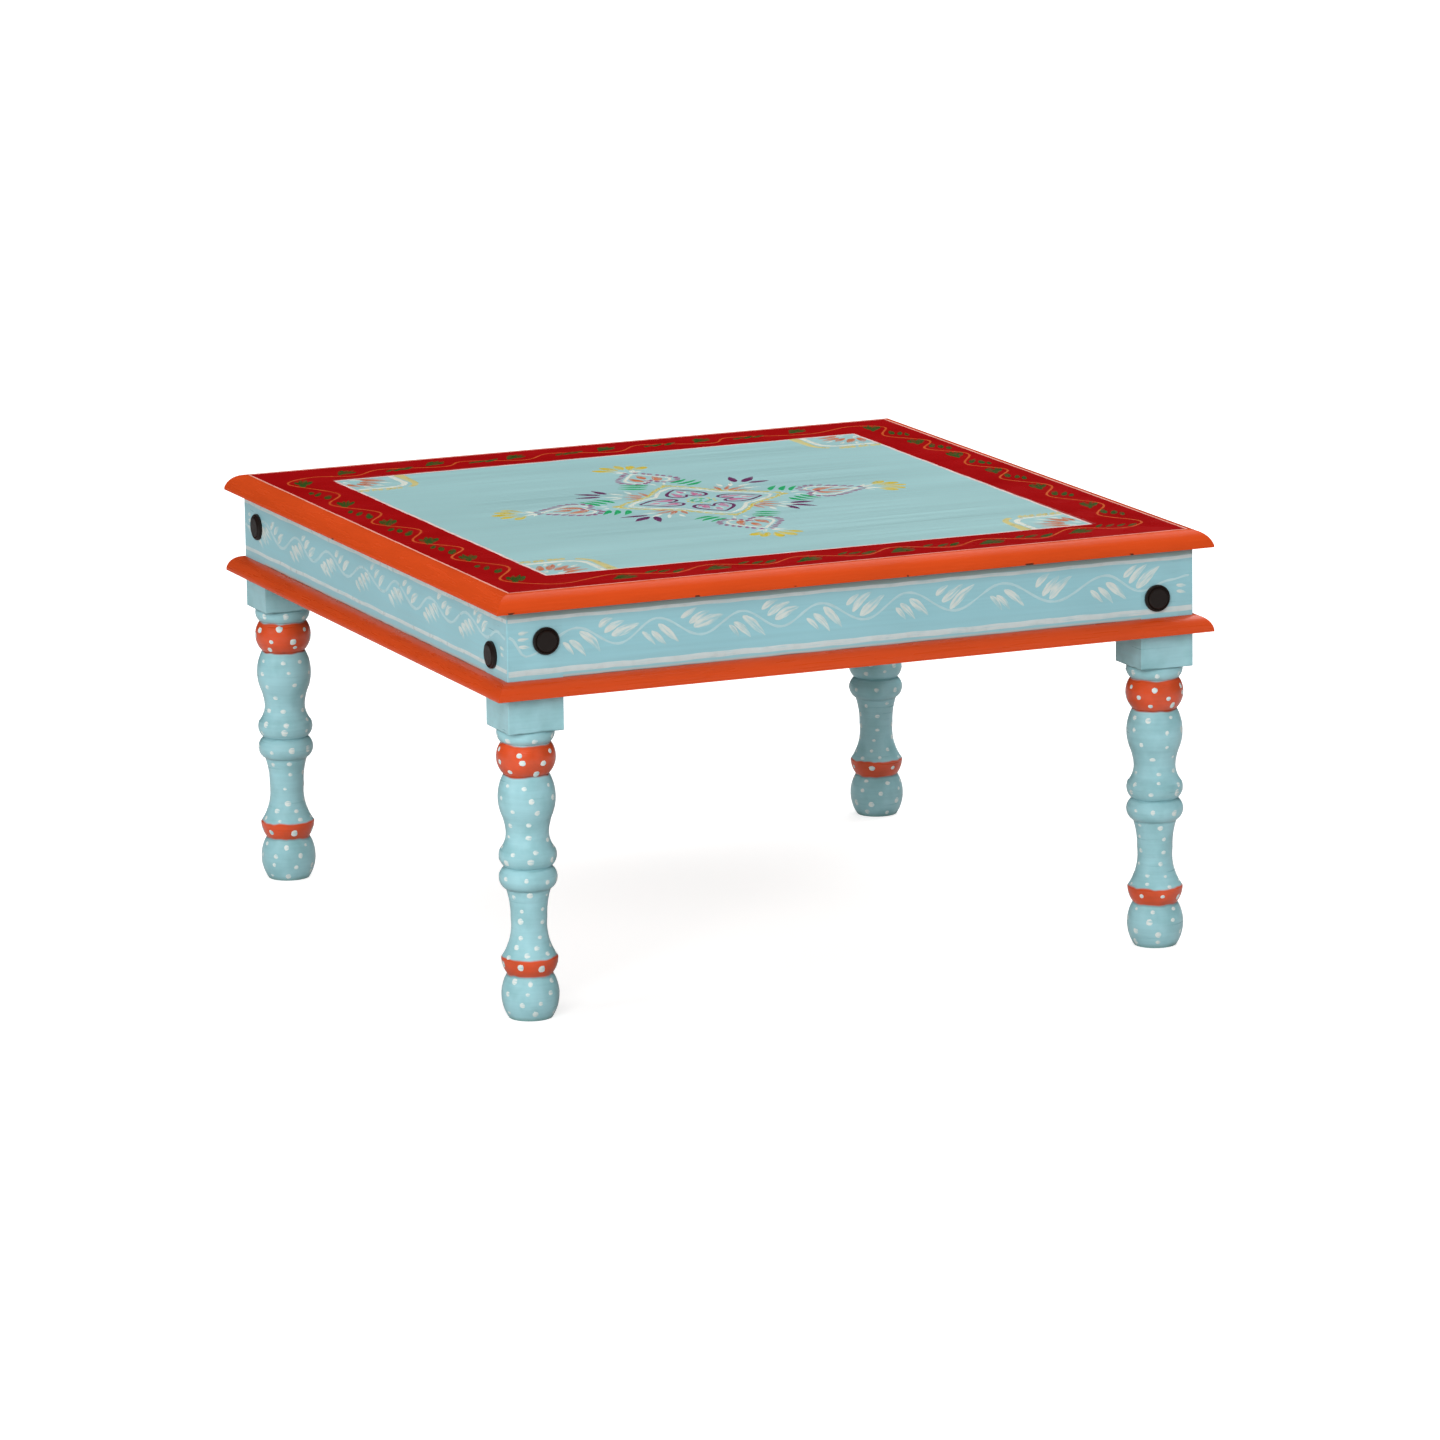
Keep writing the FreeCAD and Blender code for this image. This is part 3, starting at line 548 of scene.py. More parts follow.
def lay_paint(name, tree, points, edges, marks, sizes):
    """Runs a brush tree on points that carry the given marks, and keeps the result as one plain mesh."""
    mesh = bpy.data.meshes.new(name)
    mesh.from_pydata(points, edges, [])
    for label, values in marks.items():
        vector = isinstance(values[0], Vector)
        layer = mesh.attributes.new(label, "FLOAT_VECTOR" if vector else "FLOAT", "POINT")
        flat = [part for value in values for part in value] if vector else values
        layer.data.foreach_set("vector" if vector else "value", flat)
    piece = bpy.data.objects.new(name, mesh)
    bpy.context.scene.collection.objects.link(piece)
    painter = piece.modifiers.new("painter", "NODES")
    painter.node_group = tree
    for item in tree.interface.items_tree:
        if item.in_out == "INPUT" and item.name in sizes:
            painter[item.identifier] = sizes[item.name]
    ready = piece.evaluated_get(bpy.context.evaluated_depsgraph_get())
    piece.data = bpy.data.meshes.new_from_object(ready)
    piece.data.name = name
    piece.modifiers.remove(painter)
    for label in ("local", "run", "edge", *marks):
        if label in piece.data.attributes and label != "lift":
            piece.data.attributes.remove(piece.data.attributes[label])
    bpy.data.meshes.remove(mesh)
    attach(piece, "root")


def paint_dabs(name, material, dabs, taper=1.0, relief=0.16, uneven=0.7):
    """A piece of dabs: each is (place, heading, facing, length, width, bend, bulge)."""
    columns = list(zip(*dabs))
    labels = ("heading", "facing", "length", "width", "bend", "bulge")
    marks = dict(zip(labels, (list(column) for column in columns[1:])))
    marks["stroke"] = [brush.uniform(0, STROKE_SPREAD) for _ in dabs]
    lay_paint(name, DABS, columns[0], [], marks,
              {"Relief": relief * MM, "Taper": taper, "Uneven": uneven, "Finish": material})


def paint_lines(name, material, lines, crown):
    """A piece of lines: each is (points with width, facing, closed); a point is (place, width in mm)."""
    places, edges, facings, widths = [], [], [], []
    for points, facing, closed in lines:
        first = len(places)
        for place, width in points:
            places.append(place)
            facings.append(facing)
            widths.append(width * MM)
        edges += [(at, at + 1) for at in range(first, len(places) - 1)]
        if closed:
            edges.append((len(places) - 1, first))
    lift = [brush.uniform(0.1, 0.5) for _ in places]
    lay_paint(name, LINES, places, edges, {"facing": facings, "width": widths, "lift": lift},
              {"Crown": crown, "Finish": material})


# Places on the table

def on_side(side, along, out, height):
    """A place on one side of the table: along it from its middle, to the right as one faces it, out from the
    table's middle, and up from the floor."""
    turn = radians(90 * side)
    return Vector((
        along * cos(turn) + out * sin(turn), along * sin(turn) - out * cos(turn), height,
    )) * MM


def looks_out(side):
    turn = radians(90 * side)
    return Vector((sin(turn), -cos(turn), 0))


def face_dab(side, along, height, angle, length, width, bend=0.0):
    """A dab on an apron's face; its angle is from level, rising to the right."""
    turn, tilt = radians(90 * side), radians(angle)
    heading = Vector((cos(turn), sin(turn), 0)) * cos(tilt) + UP * sin(tilt)
    return (on_side(side, along, APRON, height), heading, looks_out(side), length * MM, width * MM, bend, 0.0)


def top_dab(x, y, angle, length, width, bend=0.0):
    """A dab on the table's top; its angle is from +X."""
    turn = radians(angle)
    heading = Vector((cos(turn), sin(turn), 0))
    return (Vector((x, y, TOP)) * MM, heading, UP, length * MM, width * MM, bend, 0.0)


def loose(value, share=0.12):
    """A size as a hand gives it: near the value, never the same twice."""
    return value * brush.uniform(1 - share, 1 + share)


def stray(size):
    """How far a hand strays from its mark, either way."""
    return brush.uniform(-size, size)


def tremor(size):
    """A slow wander of a painted line, in mm, as a function of the distance along it in mm."""
    waves = [(brush.uniform(short, long), brush.uniform(0, 6.3)) for short, long in ((35, 70), (80, 160))]
    return lambda along: size / 2 * sum(sin(along * FULL_TURN / wave + start) for wave, start in waves)


def swing(knots, step=4.0):
    """Points of a vine that swings from knot to knot; a knot is (along, across)."""
    points = []
    for (a, p), (b, q) in zip(knots, knots[1:]):
        count = max(2, round(abs(b - a) / step))
        for number in range(count):
            share = number / count
            points.append((a + (b - a) * share, p + (q - p) * (1 - cos(pi * share)) / 2))
    points.append(knots[-1])
    return points


def smooth_run(places, step_mm, closed):
    """Places along a smooth line through the given ones."""
    last = len(places) - 1
    found = []
    for number in range(last + closed):
        around = (number - 1, number, number + 1, number + 2)
        a, b, c, d = (places[at % (last + 1)] if closed else places[min(max(at, 0), last)] for at in around)
        count = max(2, round((c - b).length / MM / step_mm))
        for part in range(count):
            s = part / count
            found.append(0.5 * (2 * b + (c - a) * s + (2 * a - 5 * b + 4 * c - d) * s * s
                                + (3 * b - a - 3 * c + d) * s ** 3))
    return found if closed else found + [places[last]]


# Aprons: two white lines, a white vine and sprays of leaves in its bends

# Bends of the vine: along the side from its middle, and up from the floor
FRONT_VINE = [
    (-343, 360), (-327, 341), (-277, 363), (-236, 345), (-198, 365), (-154, 346), (-114, 364), (-75, 346),
    (-36, 364), (9, 345), (52, 366), (100, 345), (149, 366), (202, 344), (254, 364), (292, 346), (322, 354),
    (341, 357),
]
LEFT_VINE = [
    (-343, 352), (-322, 344), (-291, 362), (-241, 344), (-200, 361), (-155, 346), (-114, 362), (-63, 347),
    (-20, 363), (32, 349), (66, 364), (116, 347), (155, 364), (204, 350), (245, 366), (294, 352), (322, 362),
    (341, 358),
]
# The bends from this one on are beside the post, with no spray, and keep their place along the side
POST_BEND = 16
# Strokes of a spray above or below a bend: along and up from it, slant, length and width
FRONT_ABOVE = [(-12.0, 20.5, 28, 19, 6.8), (-3.0, 16.0, 28, 27, 8.6), (7.0, 12.0, 28, 34, 10.4)]
FRONT_BELOW = [(-8.0, -18.5, -50, 19, 6.0), (1.0, -18.5, -46, 25, 7.4), (12.0, -15.0, -42, 31, 8.8)]
LEFT_ABOVE = [(-25.0, 18.5, 30, 15, 6.8), (-14.0, 14.0, 32, 20, 7.8), (-1.5, 9.0, 32, 24, 8.8)]
LEFT_BELOW = [
    (-12.0, -21.0, -31, 21, 7.0), (-3.5, -17.5, -31, 25, 7.8), (5.0, -14.0, -31, 26, 8.2),
    (13.0, -10.5, -31, 22, 7.6),
]
# Heights and widths of the two lines
FRONT_LINES = [(374.7, 3.2), (326.0, 5.2)]
LEFT_LINES = [(374.4, 4.0), (328.2, 3.6)]
# How far from a side's middle its lines and its leaves go
LINE_END, LEAF_END = 344, 338
# Touches on the left and the right post: height, slant and length
LEFT_TOUCHES = [(363, 6, 11), (357, 2, 13), (350, -6, 14)]
RIGHT_TOUCHES = [(348, -6, 12), (342, -12, 11)]

vine_lines, edge_lines, leaves = [], [], []
for side in (FRONT, RIGHT, BACK, LEFT):
    facing = looks_out(side)
    # The back repeats the front and the right repeats the left, with small changes of hand
    drift = 0.0 if side in (FRONT, LEFT) else 5.0
    if side in (FRONT, BACK):
        bends, above, below, lines, thick = FRONT_VINE, FRONT_ABOVE, FRONT_BELOW, FRONT_LINES, 2.1
    else:
        bends, above, below, lines, thick = LEFT_VINE, LEFT_ABOVE, LEFT_BELOW, LEFT_LINES, 2.8
    knots = [(a + stray(drift) * (0 < n < POST_BEND), z + stray(0.2) * drift)
             for n, (a, z) in enumerate(bends)]
    vine = [(on_side(side, a, APRON, z), loose(thick, 0.25)) for a, z in swing(knots)]
    vine_lines.append((vine, facing, False))
    for height, width in lines:
        wander = tremor(0.45)
        run = [(a, height + wander(a)) for a in range(-LINE_END, LINE_END + 1, 8)]
        edge_lines.append(([(on_side(side, a, APRON, z), loose(width, 0.06)) for a, z in run], facing, False))
    for (a, z), (_, before) in zip(knots[2:POST_BEND], knots[1:]):
        for da, dz, slant, length, width in above if z < before else below:
            if abs(a + da) > LEAF_END:
                continue
            # On the front the upper sprays stand steeper from the middle on
            angle = slant + (12 if a > -30 else -6) * (z < before and side in (FRONT, BACK))
            leaves.append(face_dab(side, a + da + stray(1), z + dz + stray(1),
                                   angle + stray(6), loose(length), loose(width),
                                   brush.uniform(0, 0.1)))
    for height, angle, length in LEFT_TOUCHES:
        leaves.append(face_dab(side, -329 + stray(1), height, angle, loose(length), loose(4.4)))
    for height, angle, length in RIGHT_TOUCHES:
        leaves.append(face_dab(side, 333, height, angle, loose(length), loose(4.0)))
paint_lines("apron_lines", line_white, edge_lines, 0.04)
paint_lines("apron_vines", vine_white, vine_lines, 0.06)
paint_dabs("apron_leaves", apron_white, leaves)


# Top: pale line round the panel and at the rounded edge, orange vine with green leaves on the border

def edge_line(corners, width, wander_mm, parts=70, still_mm=20):
    """A closed line from corner to corner of the top, drawn by hand in so many parts a side, and still near
    the corners."""
    points = []
    for start, end in zip(corners, corners[1:] + corners[:1]):
        start, end = Vector((*start, TOP)), Vector((*end, TOP))
        wander = tremor(wander_mm)
        span = (end - start).length
        aside = UP.cross(end - start) / span
        for number in range(parts):
            gone = span * number / parts
            hold = min(1.0, gone / still_mm, (span - gone) / still_mm)
            place = start + (end - start) * number / parts + aside * wander(gone) * hold
            points.append((place * MM, loose(width, 0.12)))
    return (points, UP, True)


# The pink line lies this far inside the end of the flat
PINK_INSET = 1.2
FLAT_CORNERS = [(sx * (FLAT_EDGE - PINK_INSET), sy * (FLAT_EDGE - PINK_INSET)) for sx, sy in CORNER_WAYS]
paint_lines("panel_edge_line", pink_white, [edge_line(PANEL_CORNERS, 3.0, 0.5)], 0.05)
paint_lines("border_edge_line", pink_line_with_highlight, [edge_line(FLAT_CORNERS, 2.2, 0.2)], 0.05)

# Bends of the border's vine on each side: along it and out from the table's middle, corners included
BORDER_BENDS = {
    FRONT: [(-300, 311), (-273, 319), (-220, 300), (-170, 320), (-127, 298), (-77, 320), (-36, 299),
            (20, 321), (59, 298), (109, 321), (150, 299), (202, 320), (246, 289), (286, 308), (311, 299)],
    RIGHT: [(-280, 320), (-237, 300), (-186, 328), (-127, 301), (-75, 327), (-21, 301), (23, 327), (68, 305),
            (121, 331), (165, 306), (206, 328), (252, 301), (297, 321)],
    BACK: [(-291, 316), (-236, 296), (-159, 315), (-130, 293), (-64, 317), (-27, 292), (34, 314), (70, 292),
           (127, 312), (154, 294), (216, 308), (250, 287), (291, 298)],
    LEFT: [(-272, 325), (-202, 300), (-150, 327), (-90, 300), (-40, 326), (12, 299), (65, 325), (115, 297),
           (162, 324), (222, 294), (277, 323)],
}
# A leaf at every other bend: its middle along and out from the bend, its slant from +X and its length
LEAF = {FRONT: (2, 17, 24, 38), RIGHT: (0, -13, 70, 42), BACK: (3, 20, 40, 34), LEFT: (3, -14, 69, 44)}
# Strokes that make up a leaf: how far each lies off its middle line, and its share of the length
LEAF_STROKES = [(-5.0, 0.6), (-1.4, 1.0), (2.2, 0.92), (5.6, 0.55)]
# Touches at the bends between, each smaller than the one before: along and out from the bend, length, width
TOUCHES = {
    FRONT: [(8, -10, 24, 8.4), (-4, -13, 22, 7.4), (-16, -16, 19, 6.6)],
    RIGHT: [(13, 12.5, 27, 8.0), (4, 18, 22, 6.8), (-4, 22.5, 19, 6.0)],
    BACK: [(-27, -7, 24, 8.2), (-17, -8, 22, 7.4), (-7, -9, 19, 6.6)],
    LEFT: [(12.5, 15.5, 29, 8.0), (-4, 19, 23, 6.8), (-15, 23, 18, 6.0)],
}
# Bends further along a side than this have no leaves, and neither has the right side's first bend
LEAVES_END = {FRONT: 260, RIGHT: 300, BACK: 260, LEFT: 300}

vine_bends = [on_side(side, a, out, TOP) for side, places in BORDER_BENDS.items() for a, out in places]
border_vine = [(place, loose(2.1, 0.2)) for place in smooth_run(vine_bends, 4.0, True)]
border_leaves = []
for side, places in BORDER_BENDS.items():
    for number, (a, out) in enumerate(places):
        if abs(a) > LEAVES_END[side] or (side == RIGHT and number == 0):
            continue
        if number % 2 == (side == BACK):
            da, do, slant, length = LEAF[side]
            spot = on_side(side, a + da, out + do, TOP) / MM
            aside = Vector((-sin(radians(slant)), cos(radians(slant)), 0))
            for off, share in LEAF_STROKES:
                place = spot + aside * loose(off)
                # The short outer strokes were drawn the other way
                turn = slant + 2.4 * off + stray(5) + 180 * (share < 0.7)
                border_leaves.append(top_dab(place.x, place.y, turn, loose(length * share), loose(6.4)))
        else:
            for da, do, length, width in TOUCHES[side]:
                along, far = a + da + stray(1.5), out + do + stray(1)
                spot = on_side(side, along, far, TOP) / MM
                slant = (66 if side in (LEFT, RIGHT) else 36) + stray(9)
                border_leaves.append(top_dab(spot.x, spot.y, slant, loose(length), loose(width)))
# A row of touches at the front right corner
for number in range(4):
    slant = 40 + stray(8)
    border_leaves.append(top_dab(276 + 10 * number, -288 - 3.0 * number, slant, loose(18), loose(5.6)))
paint_lines("border_vine", vine_paint, [(border_vine, UP, True)], 0.08)
paint_dabs("border_leaves", leaf_paint, border_leaves, taper=0.5, uneven=0.9)


# Rosette in the middle of the panel

# Its middle, which the painter set a little off the table's
MIDDLE = Vector((-3.0, 8.0))
# Directions of its four arms, in degrees from +X
ARMS = (-3, 91.5, 177, 269)
strokes = {paint: [] for paint in panel_paints}
outlines = {paint: [] for paint in ("white", "yellow", "straw", "purple")}


def arm_point(arm, out, across):
    """A place on the panel by its distance out along an arm of the rosette and across it."""
    turn = radians(arm)
    return Vector((MIDDLE.x + out * cos(turn) - across * sin(turn),
                   MIDDLE.y + out * sin(turn) + across * cos(turn), TOP)) * MM


def arm_dab(paint, arm, out, across, angle, length, width, bend=0.0):
    """A dab on an arm of the rosette; its angle is from the arm's direction."""
    spot = arm_point(arm, out + stray(0.8), across + stray(0.8)) / MM
    turn = arm + angle + stray(5)
    strokes[paint].append(top_dab(spot.x, spot.y, turn, loose(length), loose(width), bend))


def arm_fan(paint, arm, out, reach, fan, flip=0):
    """Dabs that spread from one point of an arm, each (angle, length, width); a flip of 180 puts their broad
    end outside."""
    for angle, length, width in fan:
        turn = radians(angle)
        far = reach + length / 2
        arm_dab(paint, arm, out + far * cos(turn), far * sin(turn), angle + flip, length, width)


def hatch(paint, run, gap, lean, length, width):
    """Short dabs along a run of places, each leaning from its direction."""
    gone = 0.0
    for a, b in zip(run, run[1:]):
        gone += (b - a).length / MM
        if gone >= gap:
            gone -= gap
            slope = degrees(atan2(b.y - a.y, b.x - a.x)) + lean + stray(8)
            strokes[paint].append(top_dab(b.x / MM, b.y / MM, slope, loose(length), loose(width)))


def outline(paint, places, width, share, closed=False):
    """A line of paint through these places, its width as loose as the share says."""
    outlines[paint].append(([(place, loose(width, share)) for place in places], UP, closed))


# Half of a heart that points outwards, from its tip round to its notch: shares of its height and half width
HEART = [(1.0, 0.0), (0.64, 0.56), (0.34, 0.96), (0.12, 0.90), (0.0, 0.52), (0.10, 0.16), (0.26, 0.03)]
ROUND_HEART = [
    (1.0, 0.0), (0.8, 0.42), (0.55, 0.82), (0.3, 1.0), (0.09, 0.86), (0.0, 0.5), (0.1, 0.18), (0.3, 0.03),
]


def heart_half(shares, arm, hand, tip, low, half):
    """Places along half of a heart on an arm of the rosette."""
    places = [arm_point(arm, low + (tip - low) * up, hand * half * side) for up, side in shares]
    return smooth_run(places, 2.0, False)


for arm in ARMS:
    for hand in (-1, 1):
        # Half of the inner heart: plum outline that swells, pink and white touches
        small = heart_half(ROUND_HEART, arm, hand, 62, 21, 19.5)
        swell = [2.4 + 1.2 * sin(pi * n / (len(small) - 1)) for n in range(len(small))]
        outlines["purple"].append((list(zip(small, swell)), UP, False))
        arm_dab("pink", arm, 36, hand * 7.5, hand * 12, 24, 9.0, hand * 0.08)
        arm_dab("pink", arm, 28, hand * 12, hand * 34, 11, 5.4)
        arm_dab("white", arm, 46, hand * 3.5, hand * 8, 10, 3.0)
        # Half of the outer heart: mauve touches round a white line, ember inside
        hatch("mauve", heart_half(HEART, arm, hand, 171, 106, 30), 7.8, hand * 48, 10.5, 6.0)
        inner = heart_half(HEART, arm, hand, 161, 111, 23)
        outline("white", inner, 3.2, 0.3)
        arm_dab("ember", arm, 129, hand * 9, hand * 15, 30, 11.0, hand * 0.08)
        # Three green leaves beside its notch
        for number in range(3):
            step = 10.0 * (number - 1)
            arm_dab("green", arm, 96 + 0.88 * step, hand * (28 - 0.47 * step), hand * 62,
                    33 - 3 * abs(step) / 10, 7.6, hand * 0.08)
        arm_dab("white", arm, 99, hand * 6, hand * 16, 14, 4.0)
    arm_dab("ember", arm, 141, 0, 0, 26, 10.0)
    arm_dab("pink", arm, 49, 0, 0, 17, 7.0)
    # White and yellow fans past the outer heart's tip
    arm_fan("white", arm, 164, 3, [(-62, 17, 5.4), (-28, 20, 6.2), (30, 20, 6.2), (60, 17, 5.4)])
    arm_fan("yellow", arm, 171, 10,
            [(-54, 26, 12.5), (-30, 29, 12.5), (-6, 32, 12.5), (20, 31, 12.5), (47, 27, 12.5)], flip=180)
    # Ember and white fans between this arm and the next
    between = arm + 45
    arm_fan("ember", between, 50, 8, [(-42, 24, 6.2), (-14, 27, 6.6), (13, 26, 6.4), (42, 23, 6.0)])
    arm_fan("white", between, 64, 15, [(-44, 19, 5.2), (-12, 23, 5.8), (20, 22, 5.6), (48, 18, 5.0)])

# Purple sprigs between the arms
for turn, out in ((44, 92), (139, 89), (217, 84), (319, 78)):
    arm_fan("purple", turn, out, 9, [(-36, 29, 9.8), (0, 34, 10.6), (35, 30, 10.0)])

# Surround of the four inner hearts: a white band, and a yellow one outside it with yellow and white touches
for paint, least, more, point, width in (("white", 47, 26, 0.75, 4.0), ("yellow", 55, 30, 1.0, 3.6)):
    surround = []
    for number in range(241):
        angle = 1.5 * number
        far = least + more * (1 - abs(sin(radians(2 * angle)))) ** point
        surround.append(arm_point(angle, far, 0))
    outline(paint, surround[:-1], width, 0.4, True)
hatch("yellow", surround, 8.0, 18, 12.5, 5.2)
hatch("white", surround, 11.0, -20, 9.0, 3.0)
for arm in ARMS:
    arm_dab("yellow", arm, 83, 0, 180, 15, 8.0)
# Flower at the very middle: yellow touches round green ones
for number in range(10):
    arm_dab("yellow", 36 * number, 14, 0, 70, 7.0, 3.6)
for number in range(6):
    arm_dab("green", 60 * number, 9, 0, 84, 9.5, 4.2)
arm_dab("green", 0, 0, 0, 60, 8.0, 4.2)


# Corner fans of the panel: ember and white strokes, a white band, and straw yellow that breaks into touches

# Strokes of a fan: their width, and for each its direction from the corner, how far out it lies, its length
FAN_STROKES = {
    "ember": (10.0, [(13, 34, 30), (29, 39, 31), (46, 38, 28), (62, 40, 30), (78, 35, 28)]),
    "white": (5.0, [(20, 20, 16), (38, 52, 16), (54, 54, 15), (70, 50, 15), (68, 18, 14)]),
}


def fan_run(corner, ways, size, turn_mm, step=2.0, turn_parts=12):
    """Places along the squarish arc round a corner, from the front or back edge round to the side edge."""
    flat = size - turn_mm
    steps = [(size, step * n) for n in range(int(flat / step))]
    for number in range(turn_parts + 1):
        angle = radians(90 * number / turn_parts)
        steps.append((flat + turn_mm * cos(angle), flat + turn_mm * sin(angle)))
    steps += [(flat - step * n, size) for n in range(1, int(flat / step))]
    return [Vector((corner[0] - ways[0] * a, corner[1] - ways[1] * b, TOP)) * MM for a, b in steps]


for corner, ways in zip(PANEL_CORNERS, CORNER_WAYS):
    (cx, cy), (sx, sy) = corner, ways
    for paint, (width, fan) in FAN_STROKES.items():
        for turn, far, length in fan:
            way = Vector((-sx * cos(radians(turn)), -sy * sin(radians(turn))))
            slope = degrees(atan2(way.y, way.x)) + stray(6)
            strokes[paint].append(top_dab(cx + way.x * far, cy + way.y * far, slope, loose(length),
                                          loose(width), stray(0.06)))
    outline("white", fan_run(corner, ways, 57, 20), 5.8, 0.2)
    broad = fan_run(corner, ways, 66, 24)
    half = len(broad) * 5 // 9
    straw = [(place, 11.0 - 6.0 * n / half) for n, place in enumerate(broad[:half])]
    outlines["straw"].append((straw, UP, False))
    hatch("straw", broad[half:], 7.0, 62, 15.0, 7.4)

for paint, runs in outlines.items():
    paint_lines(f"panel_{paint}_lines", panel_paints[paint], runs, 0.03)
for paint, dabs in strokes.items():
    paint_dabs(f"panel_{paint}_strokes", panel_paints[paint], dabs)


# Legs: white dots in staggered rows round the turning

# Each row's height from the floor, and how many dots it has
DOT_ROWS = [
    (263.5, 7), (251, 6), (242, 7), (232.5, 6), (220, 7), (208, 6), (195, 6), (182, 5), (169, 6), (158, 7),
    (149, 7), (131, 8), (116, 6), (104, 5), (91, 5), (79, 5), (68, 6), (61, 7), (49.5, 7), (36, 7), (26, 7),
    (15.5, 7), (6, 6),
]
# Heights of the orange ball and ring, and the size of a dot on them and elsewhere
BALL = (228, 257)
RING = (42, 57)
DOT_ON_ORANGE, DOT_ON_BLUE = 6.2, 5.7
# Turn from row to row in radians, and a distance in metres from the axis that is outside the leg
STAGGER = 2.4
OUTSIDE = 0.06

ready = bpy.context.evaluated_depsgraph_get()
leg_dots = []
for node in sorted(name for name in frame["nodes"] if name.startswith("leg_")):
    surface = BVHTree.FromObject(frame["nodes"][node], ready)
    low, high = (Vector(corner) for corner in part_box(node))
    axis = (low + high) / 2
    start = brush.uniform(0, FULL_TURN)
    for row, (height, count) in enumerate(DOT_ROWS):
        on_orange = any(foot < height < head for foot, head in (BALL, RING))
        for number in range(count):
            turn = start + STAGGER * row + (number + stray(0.17)) * FULL_TURN / count
            out = Vector((cos(turn), sin(turn), 0))
            eye = Vector((axis.x, axis.y, (height + stray(2.0)) * MM)) + out * OUTSIDE
            place, normal, _, _ = surface.ray_cast(eye, -out)
            if place is None:
                continue
            radius = (Vector((place.x, place.y)) - Vector((axis.x, axis.y))).length
            level = UP.cross(normal).normalized()
            size = loose(DOT_ON_ORANGE if on_orange else DOT_ON_BLUE, 0.28)
            wide = loose(0.84 * size, 0.2)
            leg_dots.append((place, level, normal, size * MM, wide * MM, 0.0, 0.5 / radius))
paint_dabs("leg_dots", dot_white, leg_dots, taper=0.0, relief=0.25, uneven=0.45)


# Studio: pale floor, soft light, camera where the photographer stood

# The floor's size in metres, and its drop in mm, which keeps it clear of the feet
FLOOR_SIZE = 40
FLOOR_DROP = 0.3
# Distances in metres between which the floor brightens to white, and its glow at the first
FADE_START, FADE_END = 0.5, 2.0
FLOOR_GLOW = 0.74
# Strength of the air all round, and of the ceiling that gloss mirrors
AIR = 0.22
CEILING = 0.4
# Lamps: place and size in metres, power in watts
LAMPS = {
    "key": ((-2.6, -3.8, 2.4), 2.4, 140),
    "side": ((-3.6, -0.7, 1.3), 1.6, 50),
    "fill": ((2.1, -4.3, 1.5), 2.2, 42),
    "overhead": ((1.4, 0.9, 3.2), 2.6, 90),
}
LAMP_TARGET = Vector((0, 0, 0.3))
# The camera: place in metres, turn in degrees, lens and sensor in mm
CAMERA_PLACE = (-2.96544, -6.96138, 1.78083)
CAMERA_TURN = (78.0987, 0.8032, -23.3133)
CAMERA_LENS = 201.28
CAMERA_SENSOR = 36


def pale_floor():
    """Matt floor that fades to white away from the table."""
    bpy.ops.mesh.primitive_plane_add(size=FLOOR_SIZE, location=(0, 0, -FLOOR_DROP * MM))
    floor = bpy.context.object
    floor.name = "floor"
    pale = bpy.data.materials.new("pale_studio_floor")
    pale.use_nodes = True
    tree = pale.node_tree
    tree.nodes.remove(tree.nodes["Principled BSDF"])
    path = add(tree, "ShaderNodeLightPath").node.outputs
    place = add(tree, "ShaderNodeTexCoord").node.outputs["Object"]
    away = add(tree, VECTOR, [place], "LENGTH")
    fade = add(tree, RANGE, {"Value": away, 1: FADE_START, 2: FADE_END, 3: FLOOR_GLOW, 4: 1.0})
    seen = add(tree, MATH, [path["Is Camera Ray"], fade], "MULTIPLY")
    matt = add(tree, "ShaderNodeBsdfDiffuse", {"Color": linear("#C0C0C0")})
    glow = add(tree, "ShaderNodeEmission", {"Color": linear("#FFFFFF"), "Strength": seen})
    lit = add(tree, "ShaderNodeAddShader", [matt, glow])
    # From below the floor is clear, so that the table's underside can be looked at
    under = add(tree, "ShaderNodeNewGeometry").node.outputs["Backfacing"]
    clear = add(tree, "ShaderNodeBsdfTransparent")
    mixed = add(tree, "ShaderNodeMixShader", [under, lit, clear])
    tree.links.new(mixed, tree.nodes["Material Output"].inputs["Surface"])
    floor.data.materials.append(pale)


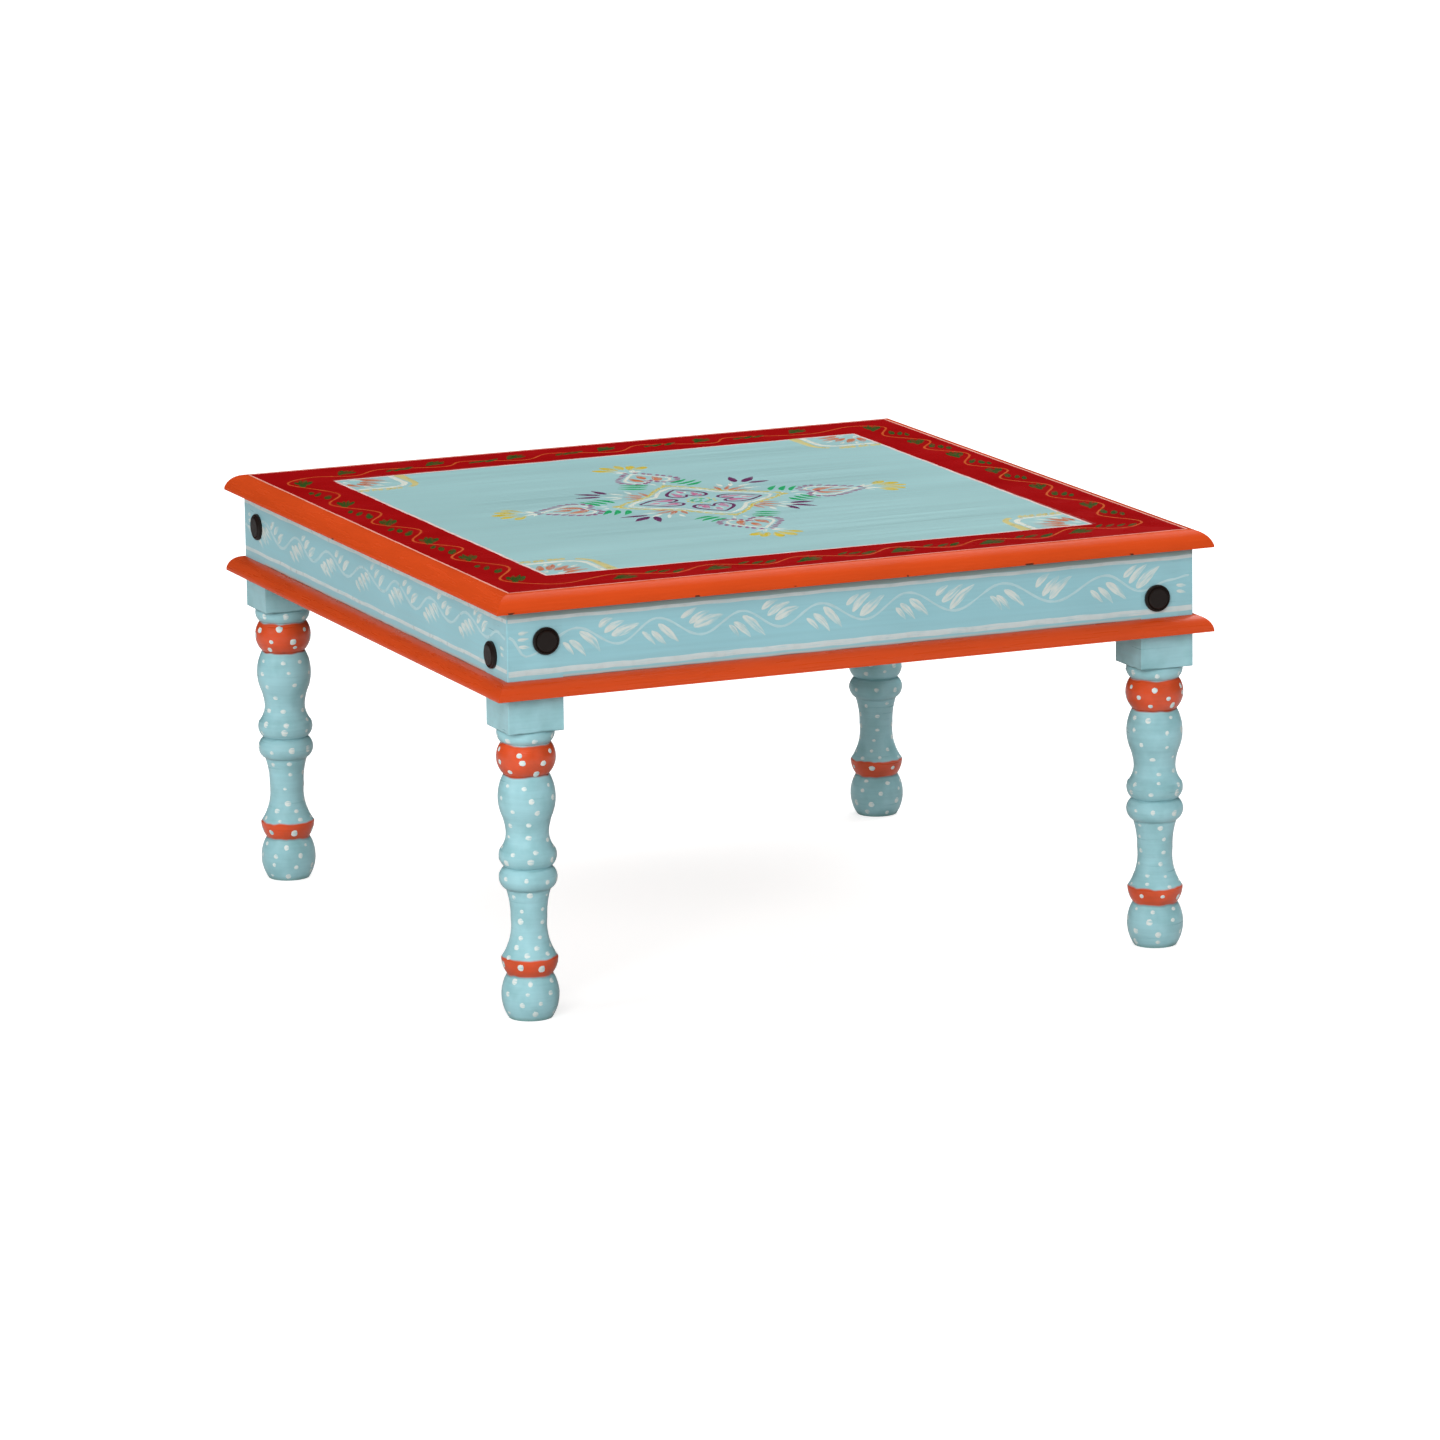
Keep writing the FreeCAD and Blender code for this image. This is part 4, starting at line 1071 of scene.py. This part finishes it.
def white_room(scene):
    """White all round for the camera; gloss mirrors a white ceiling that falls off to a dim room low down."""
    world = bpy.data.worlds.new("studio")
    scene.world = world
    world.use_nodes = True
    tree = world.node_tree
    tree.nodes.clear()
    path = add(tree, "ShaderNodeLightPath").node.outputs
    seen = path["Is Camera Ray"]
    for ray in ("Is Glossy Ray", "Is Transmission Ray"):
        seen = add(tree, MATH, [seen, path[ray]], "MAXIMUM")
    way = add(tree, "ShaderNodeTexCoord").node.outputs["Generated"]
    way = add(tree, SPLIT, [way]).node.outputs[2]
    ceiling = add(tree, RANGE, {"Value": way, 1: 0.4, 2: 0.9, 3: 0.0, 4: CEILING})
    level = add(tree, MATH, [ceiling, path["Is Camera Ray"]], "MAXIMUM")
    air = add(tree, "ShaderNodeBackground", {"Color": linear("#FFFFFF"), "Strength": AIR})
    white = add(tree, "ShaderNodeBackground", {"Color": linear("#FFFFFF"), "Strength": level})
    mixed = add(tree, "ShaderNodeMixShader", [seen, air, white])
    add(tree, "ShaderNodeOutputWorld", {"Surface": mixed})


def lamps_and_camera(scene):
    """Four soft lamps, and the camera where the photographer stood."""
    for name, (spot, size, power) in LAMPS.items():
        lamp = bpy.data.lights.new(name, "AREA")
        lamp.size = size
        lamp.energy = power
        holder = bpy.data.objects.new(name, lamp)
        scene.collection.objects.link(holder)
        holder.location = spot
        # The low lamps would mirror in the top from the far side and wash its paint out
        holder.visible_glossy = name == "overhead"
        holder.rotation_euler = (LAMP_TARGET - Vector(spot)).to_track_quat("-Z", "Y").to_euler()
    camera = bpy.data.objects.new("camera", bpy.data.cameras.new("camera"))
    scene.collection.objects.link(camera)
    camera.data.sensor_width = CAMERA_SENSOR
    camera.data.lens = CAMERA_LENS
    camera.data.clip_end = 100
    camera.location = CAMERA_PLACE
    camera.rotation_euler = [radians(angle) for angle in CAMERA_TURN]
    scene.camera = camera


scene = bpy.context.scene
scene.view_settings.view_transform = "Standard"
pale_floor()
white_room(scene)
lamps_and_camera(scene)
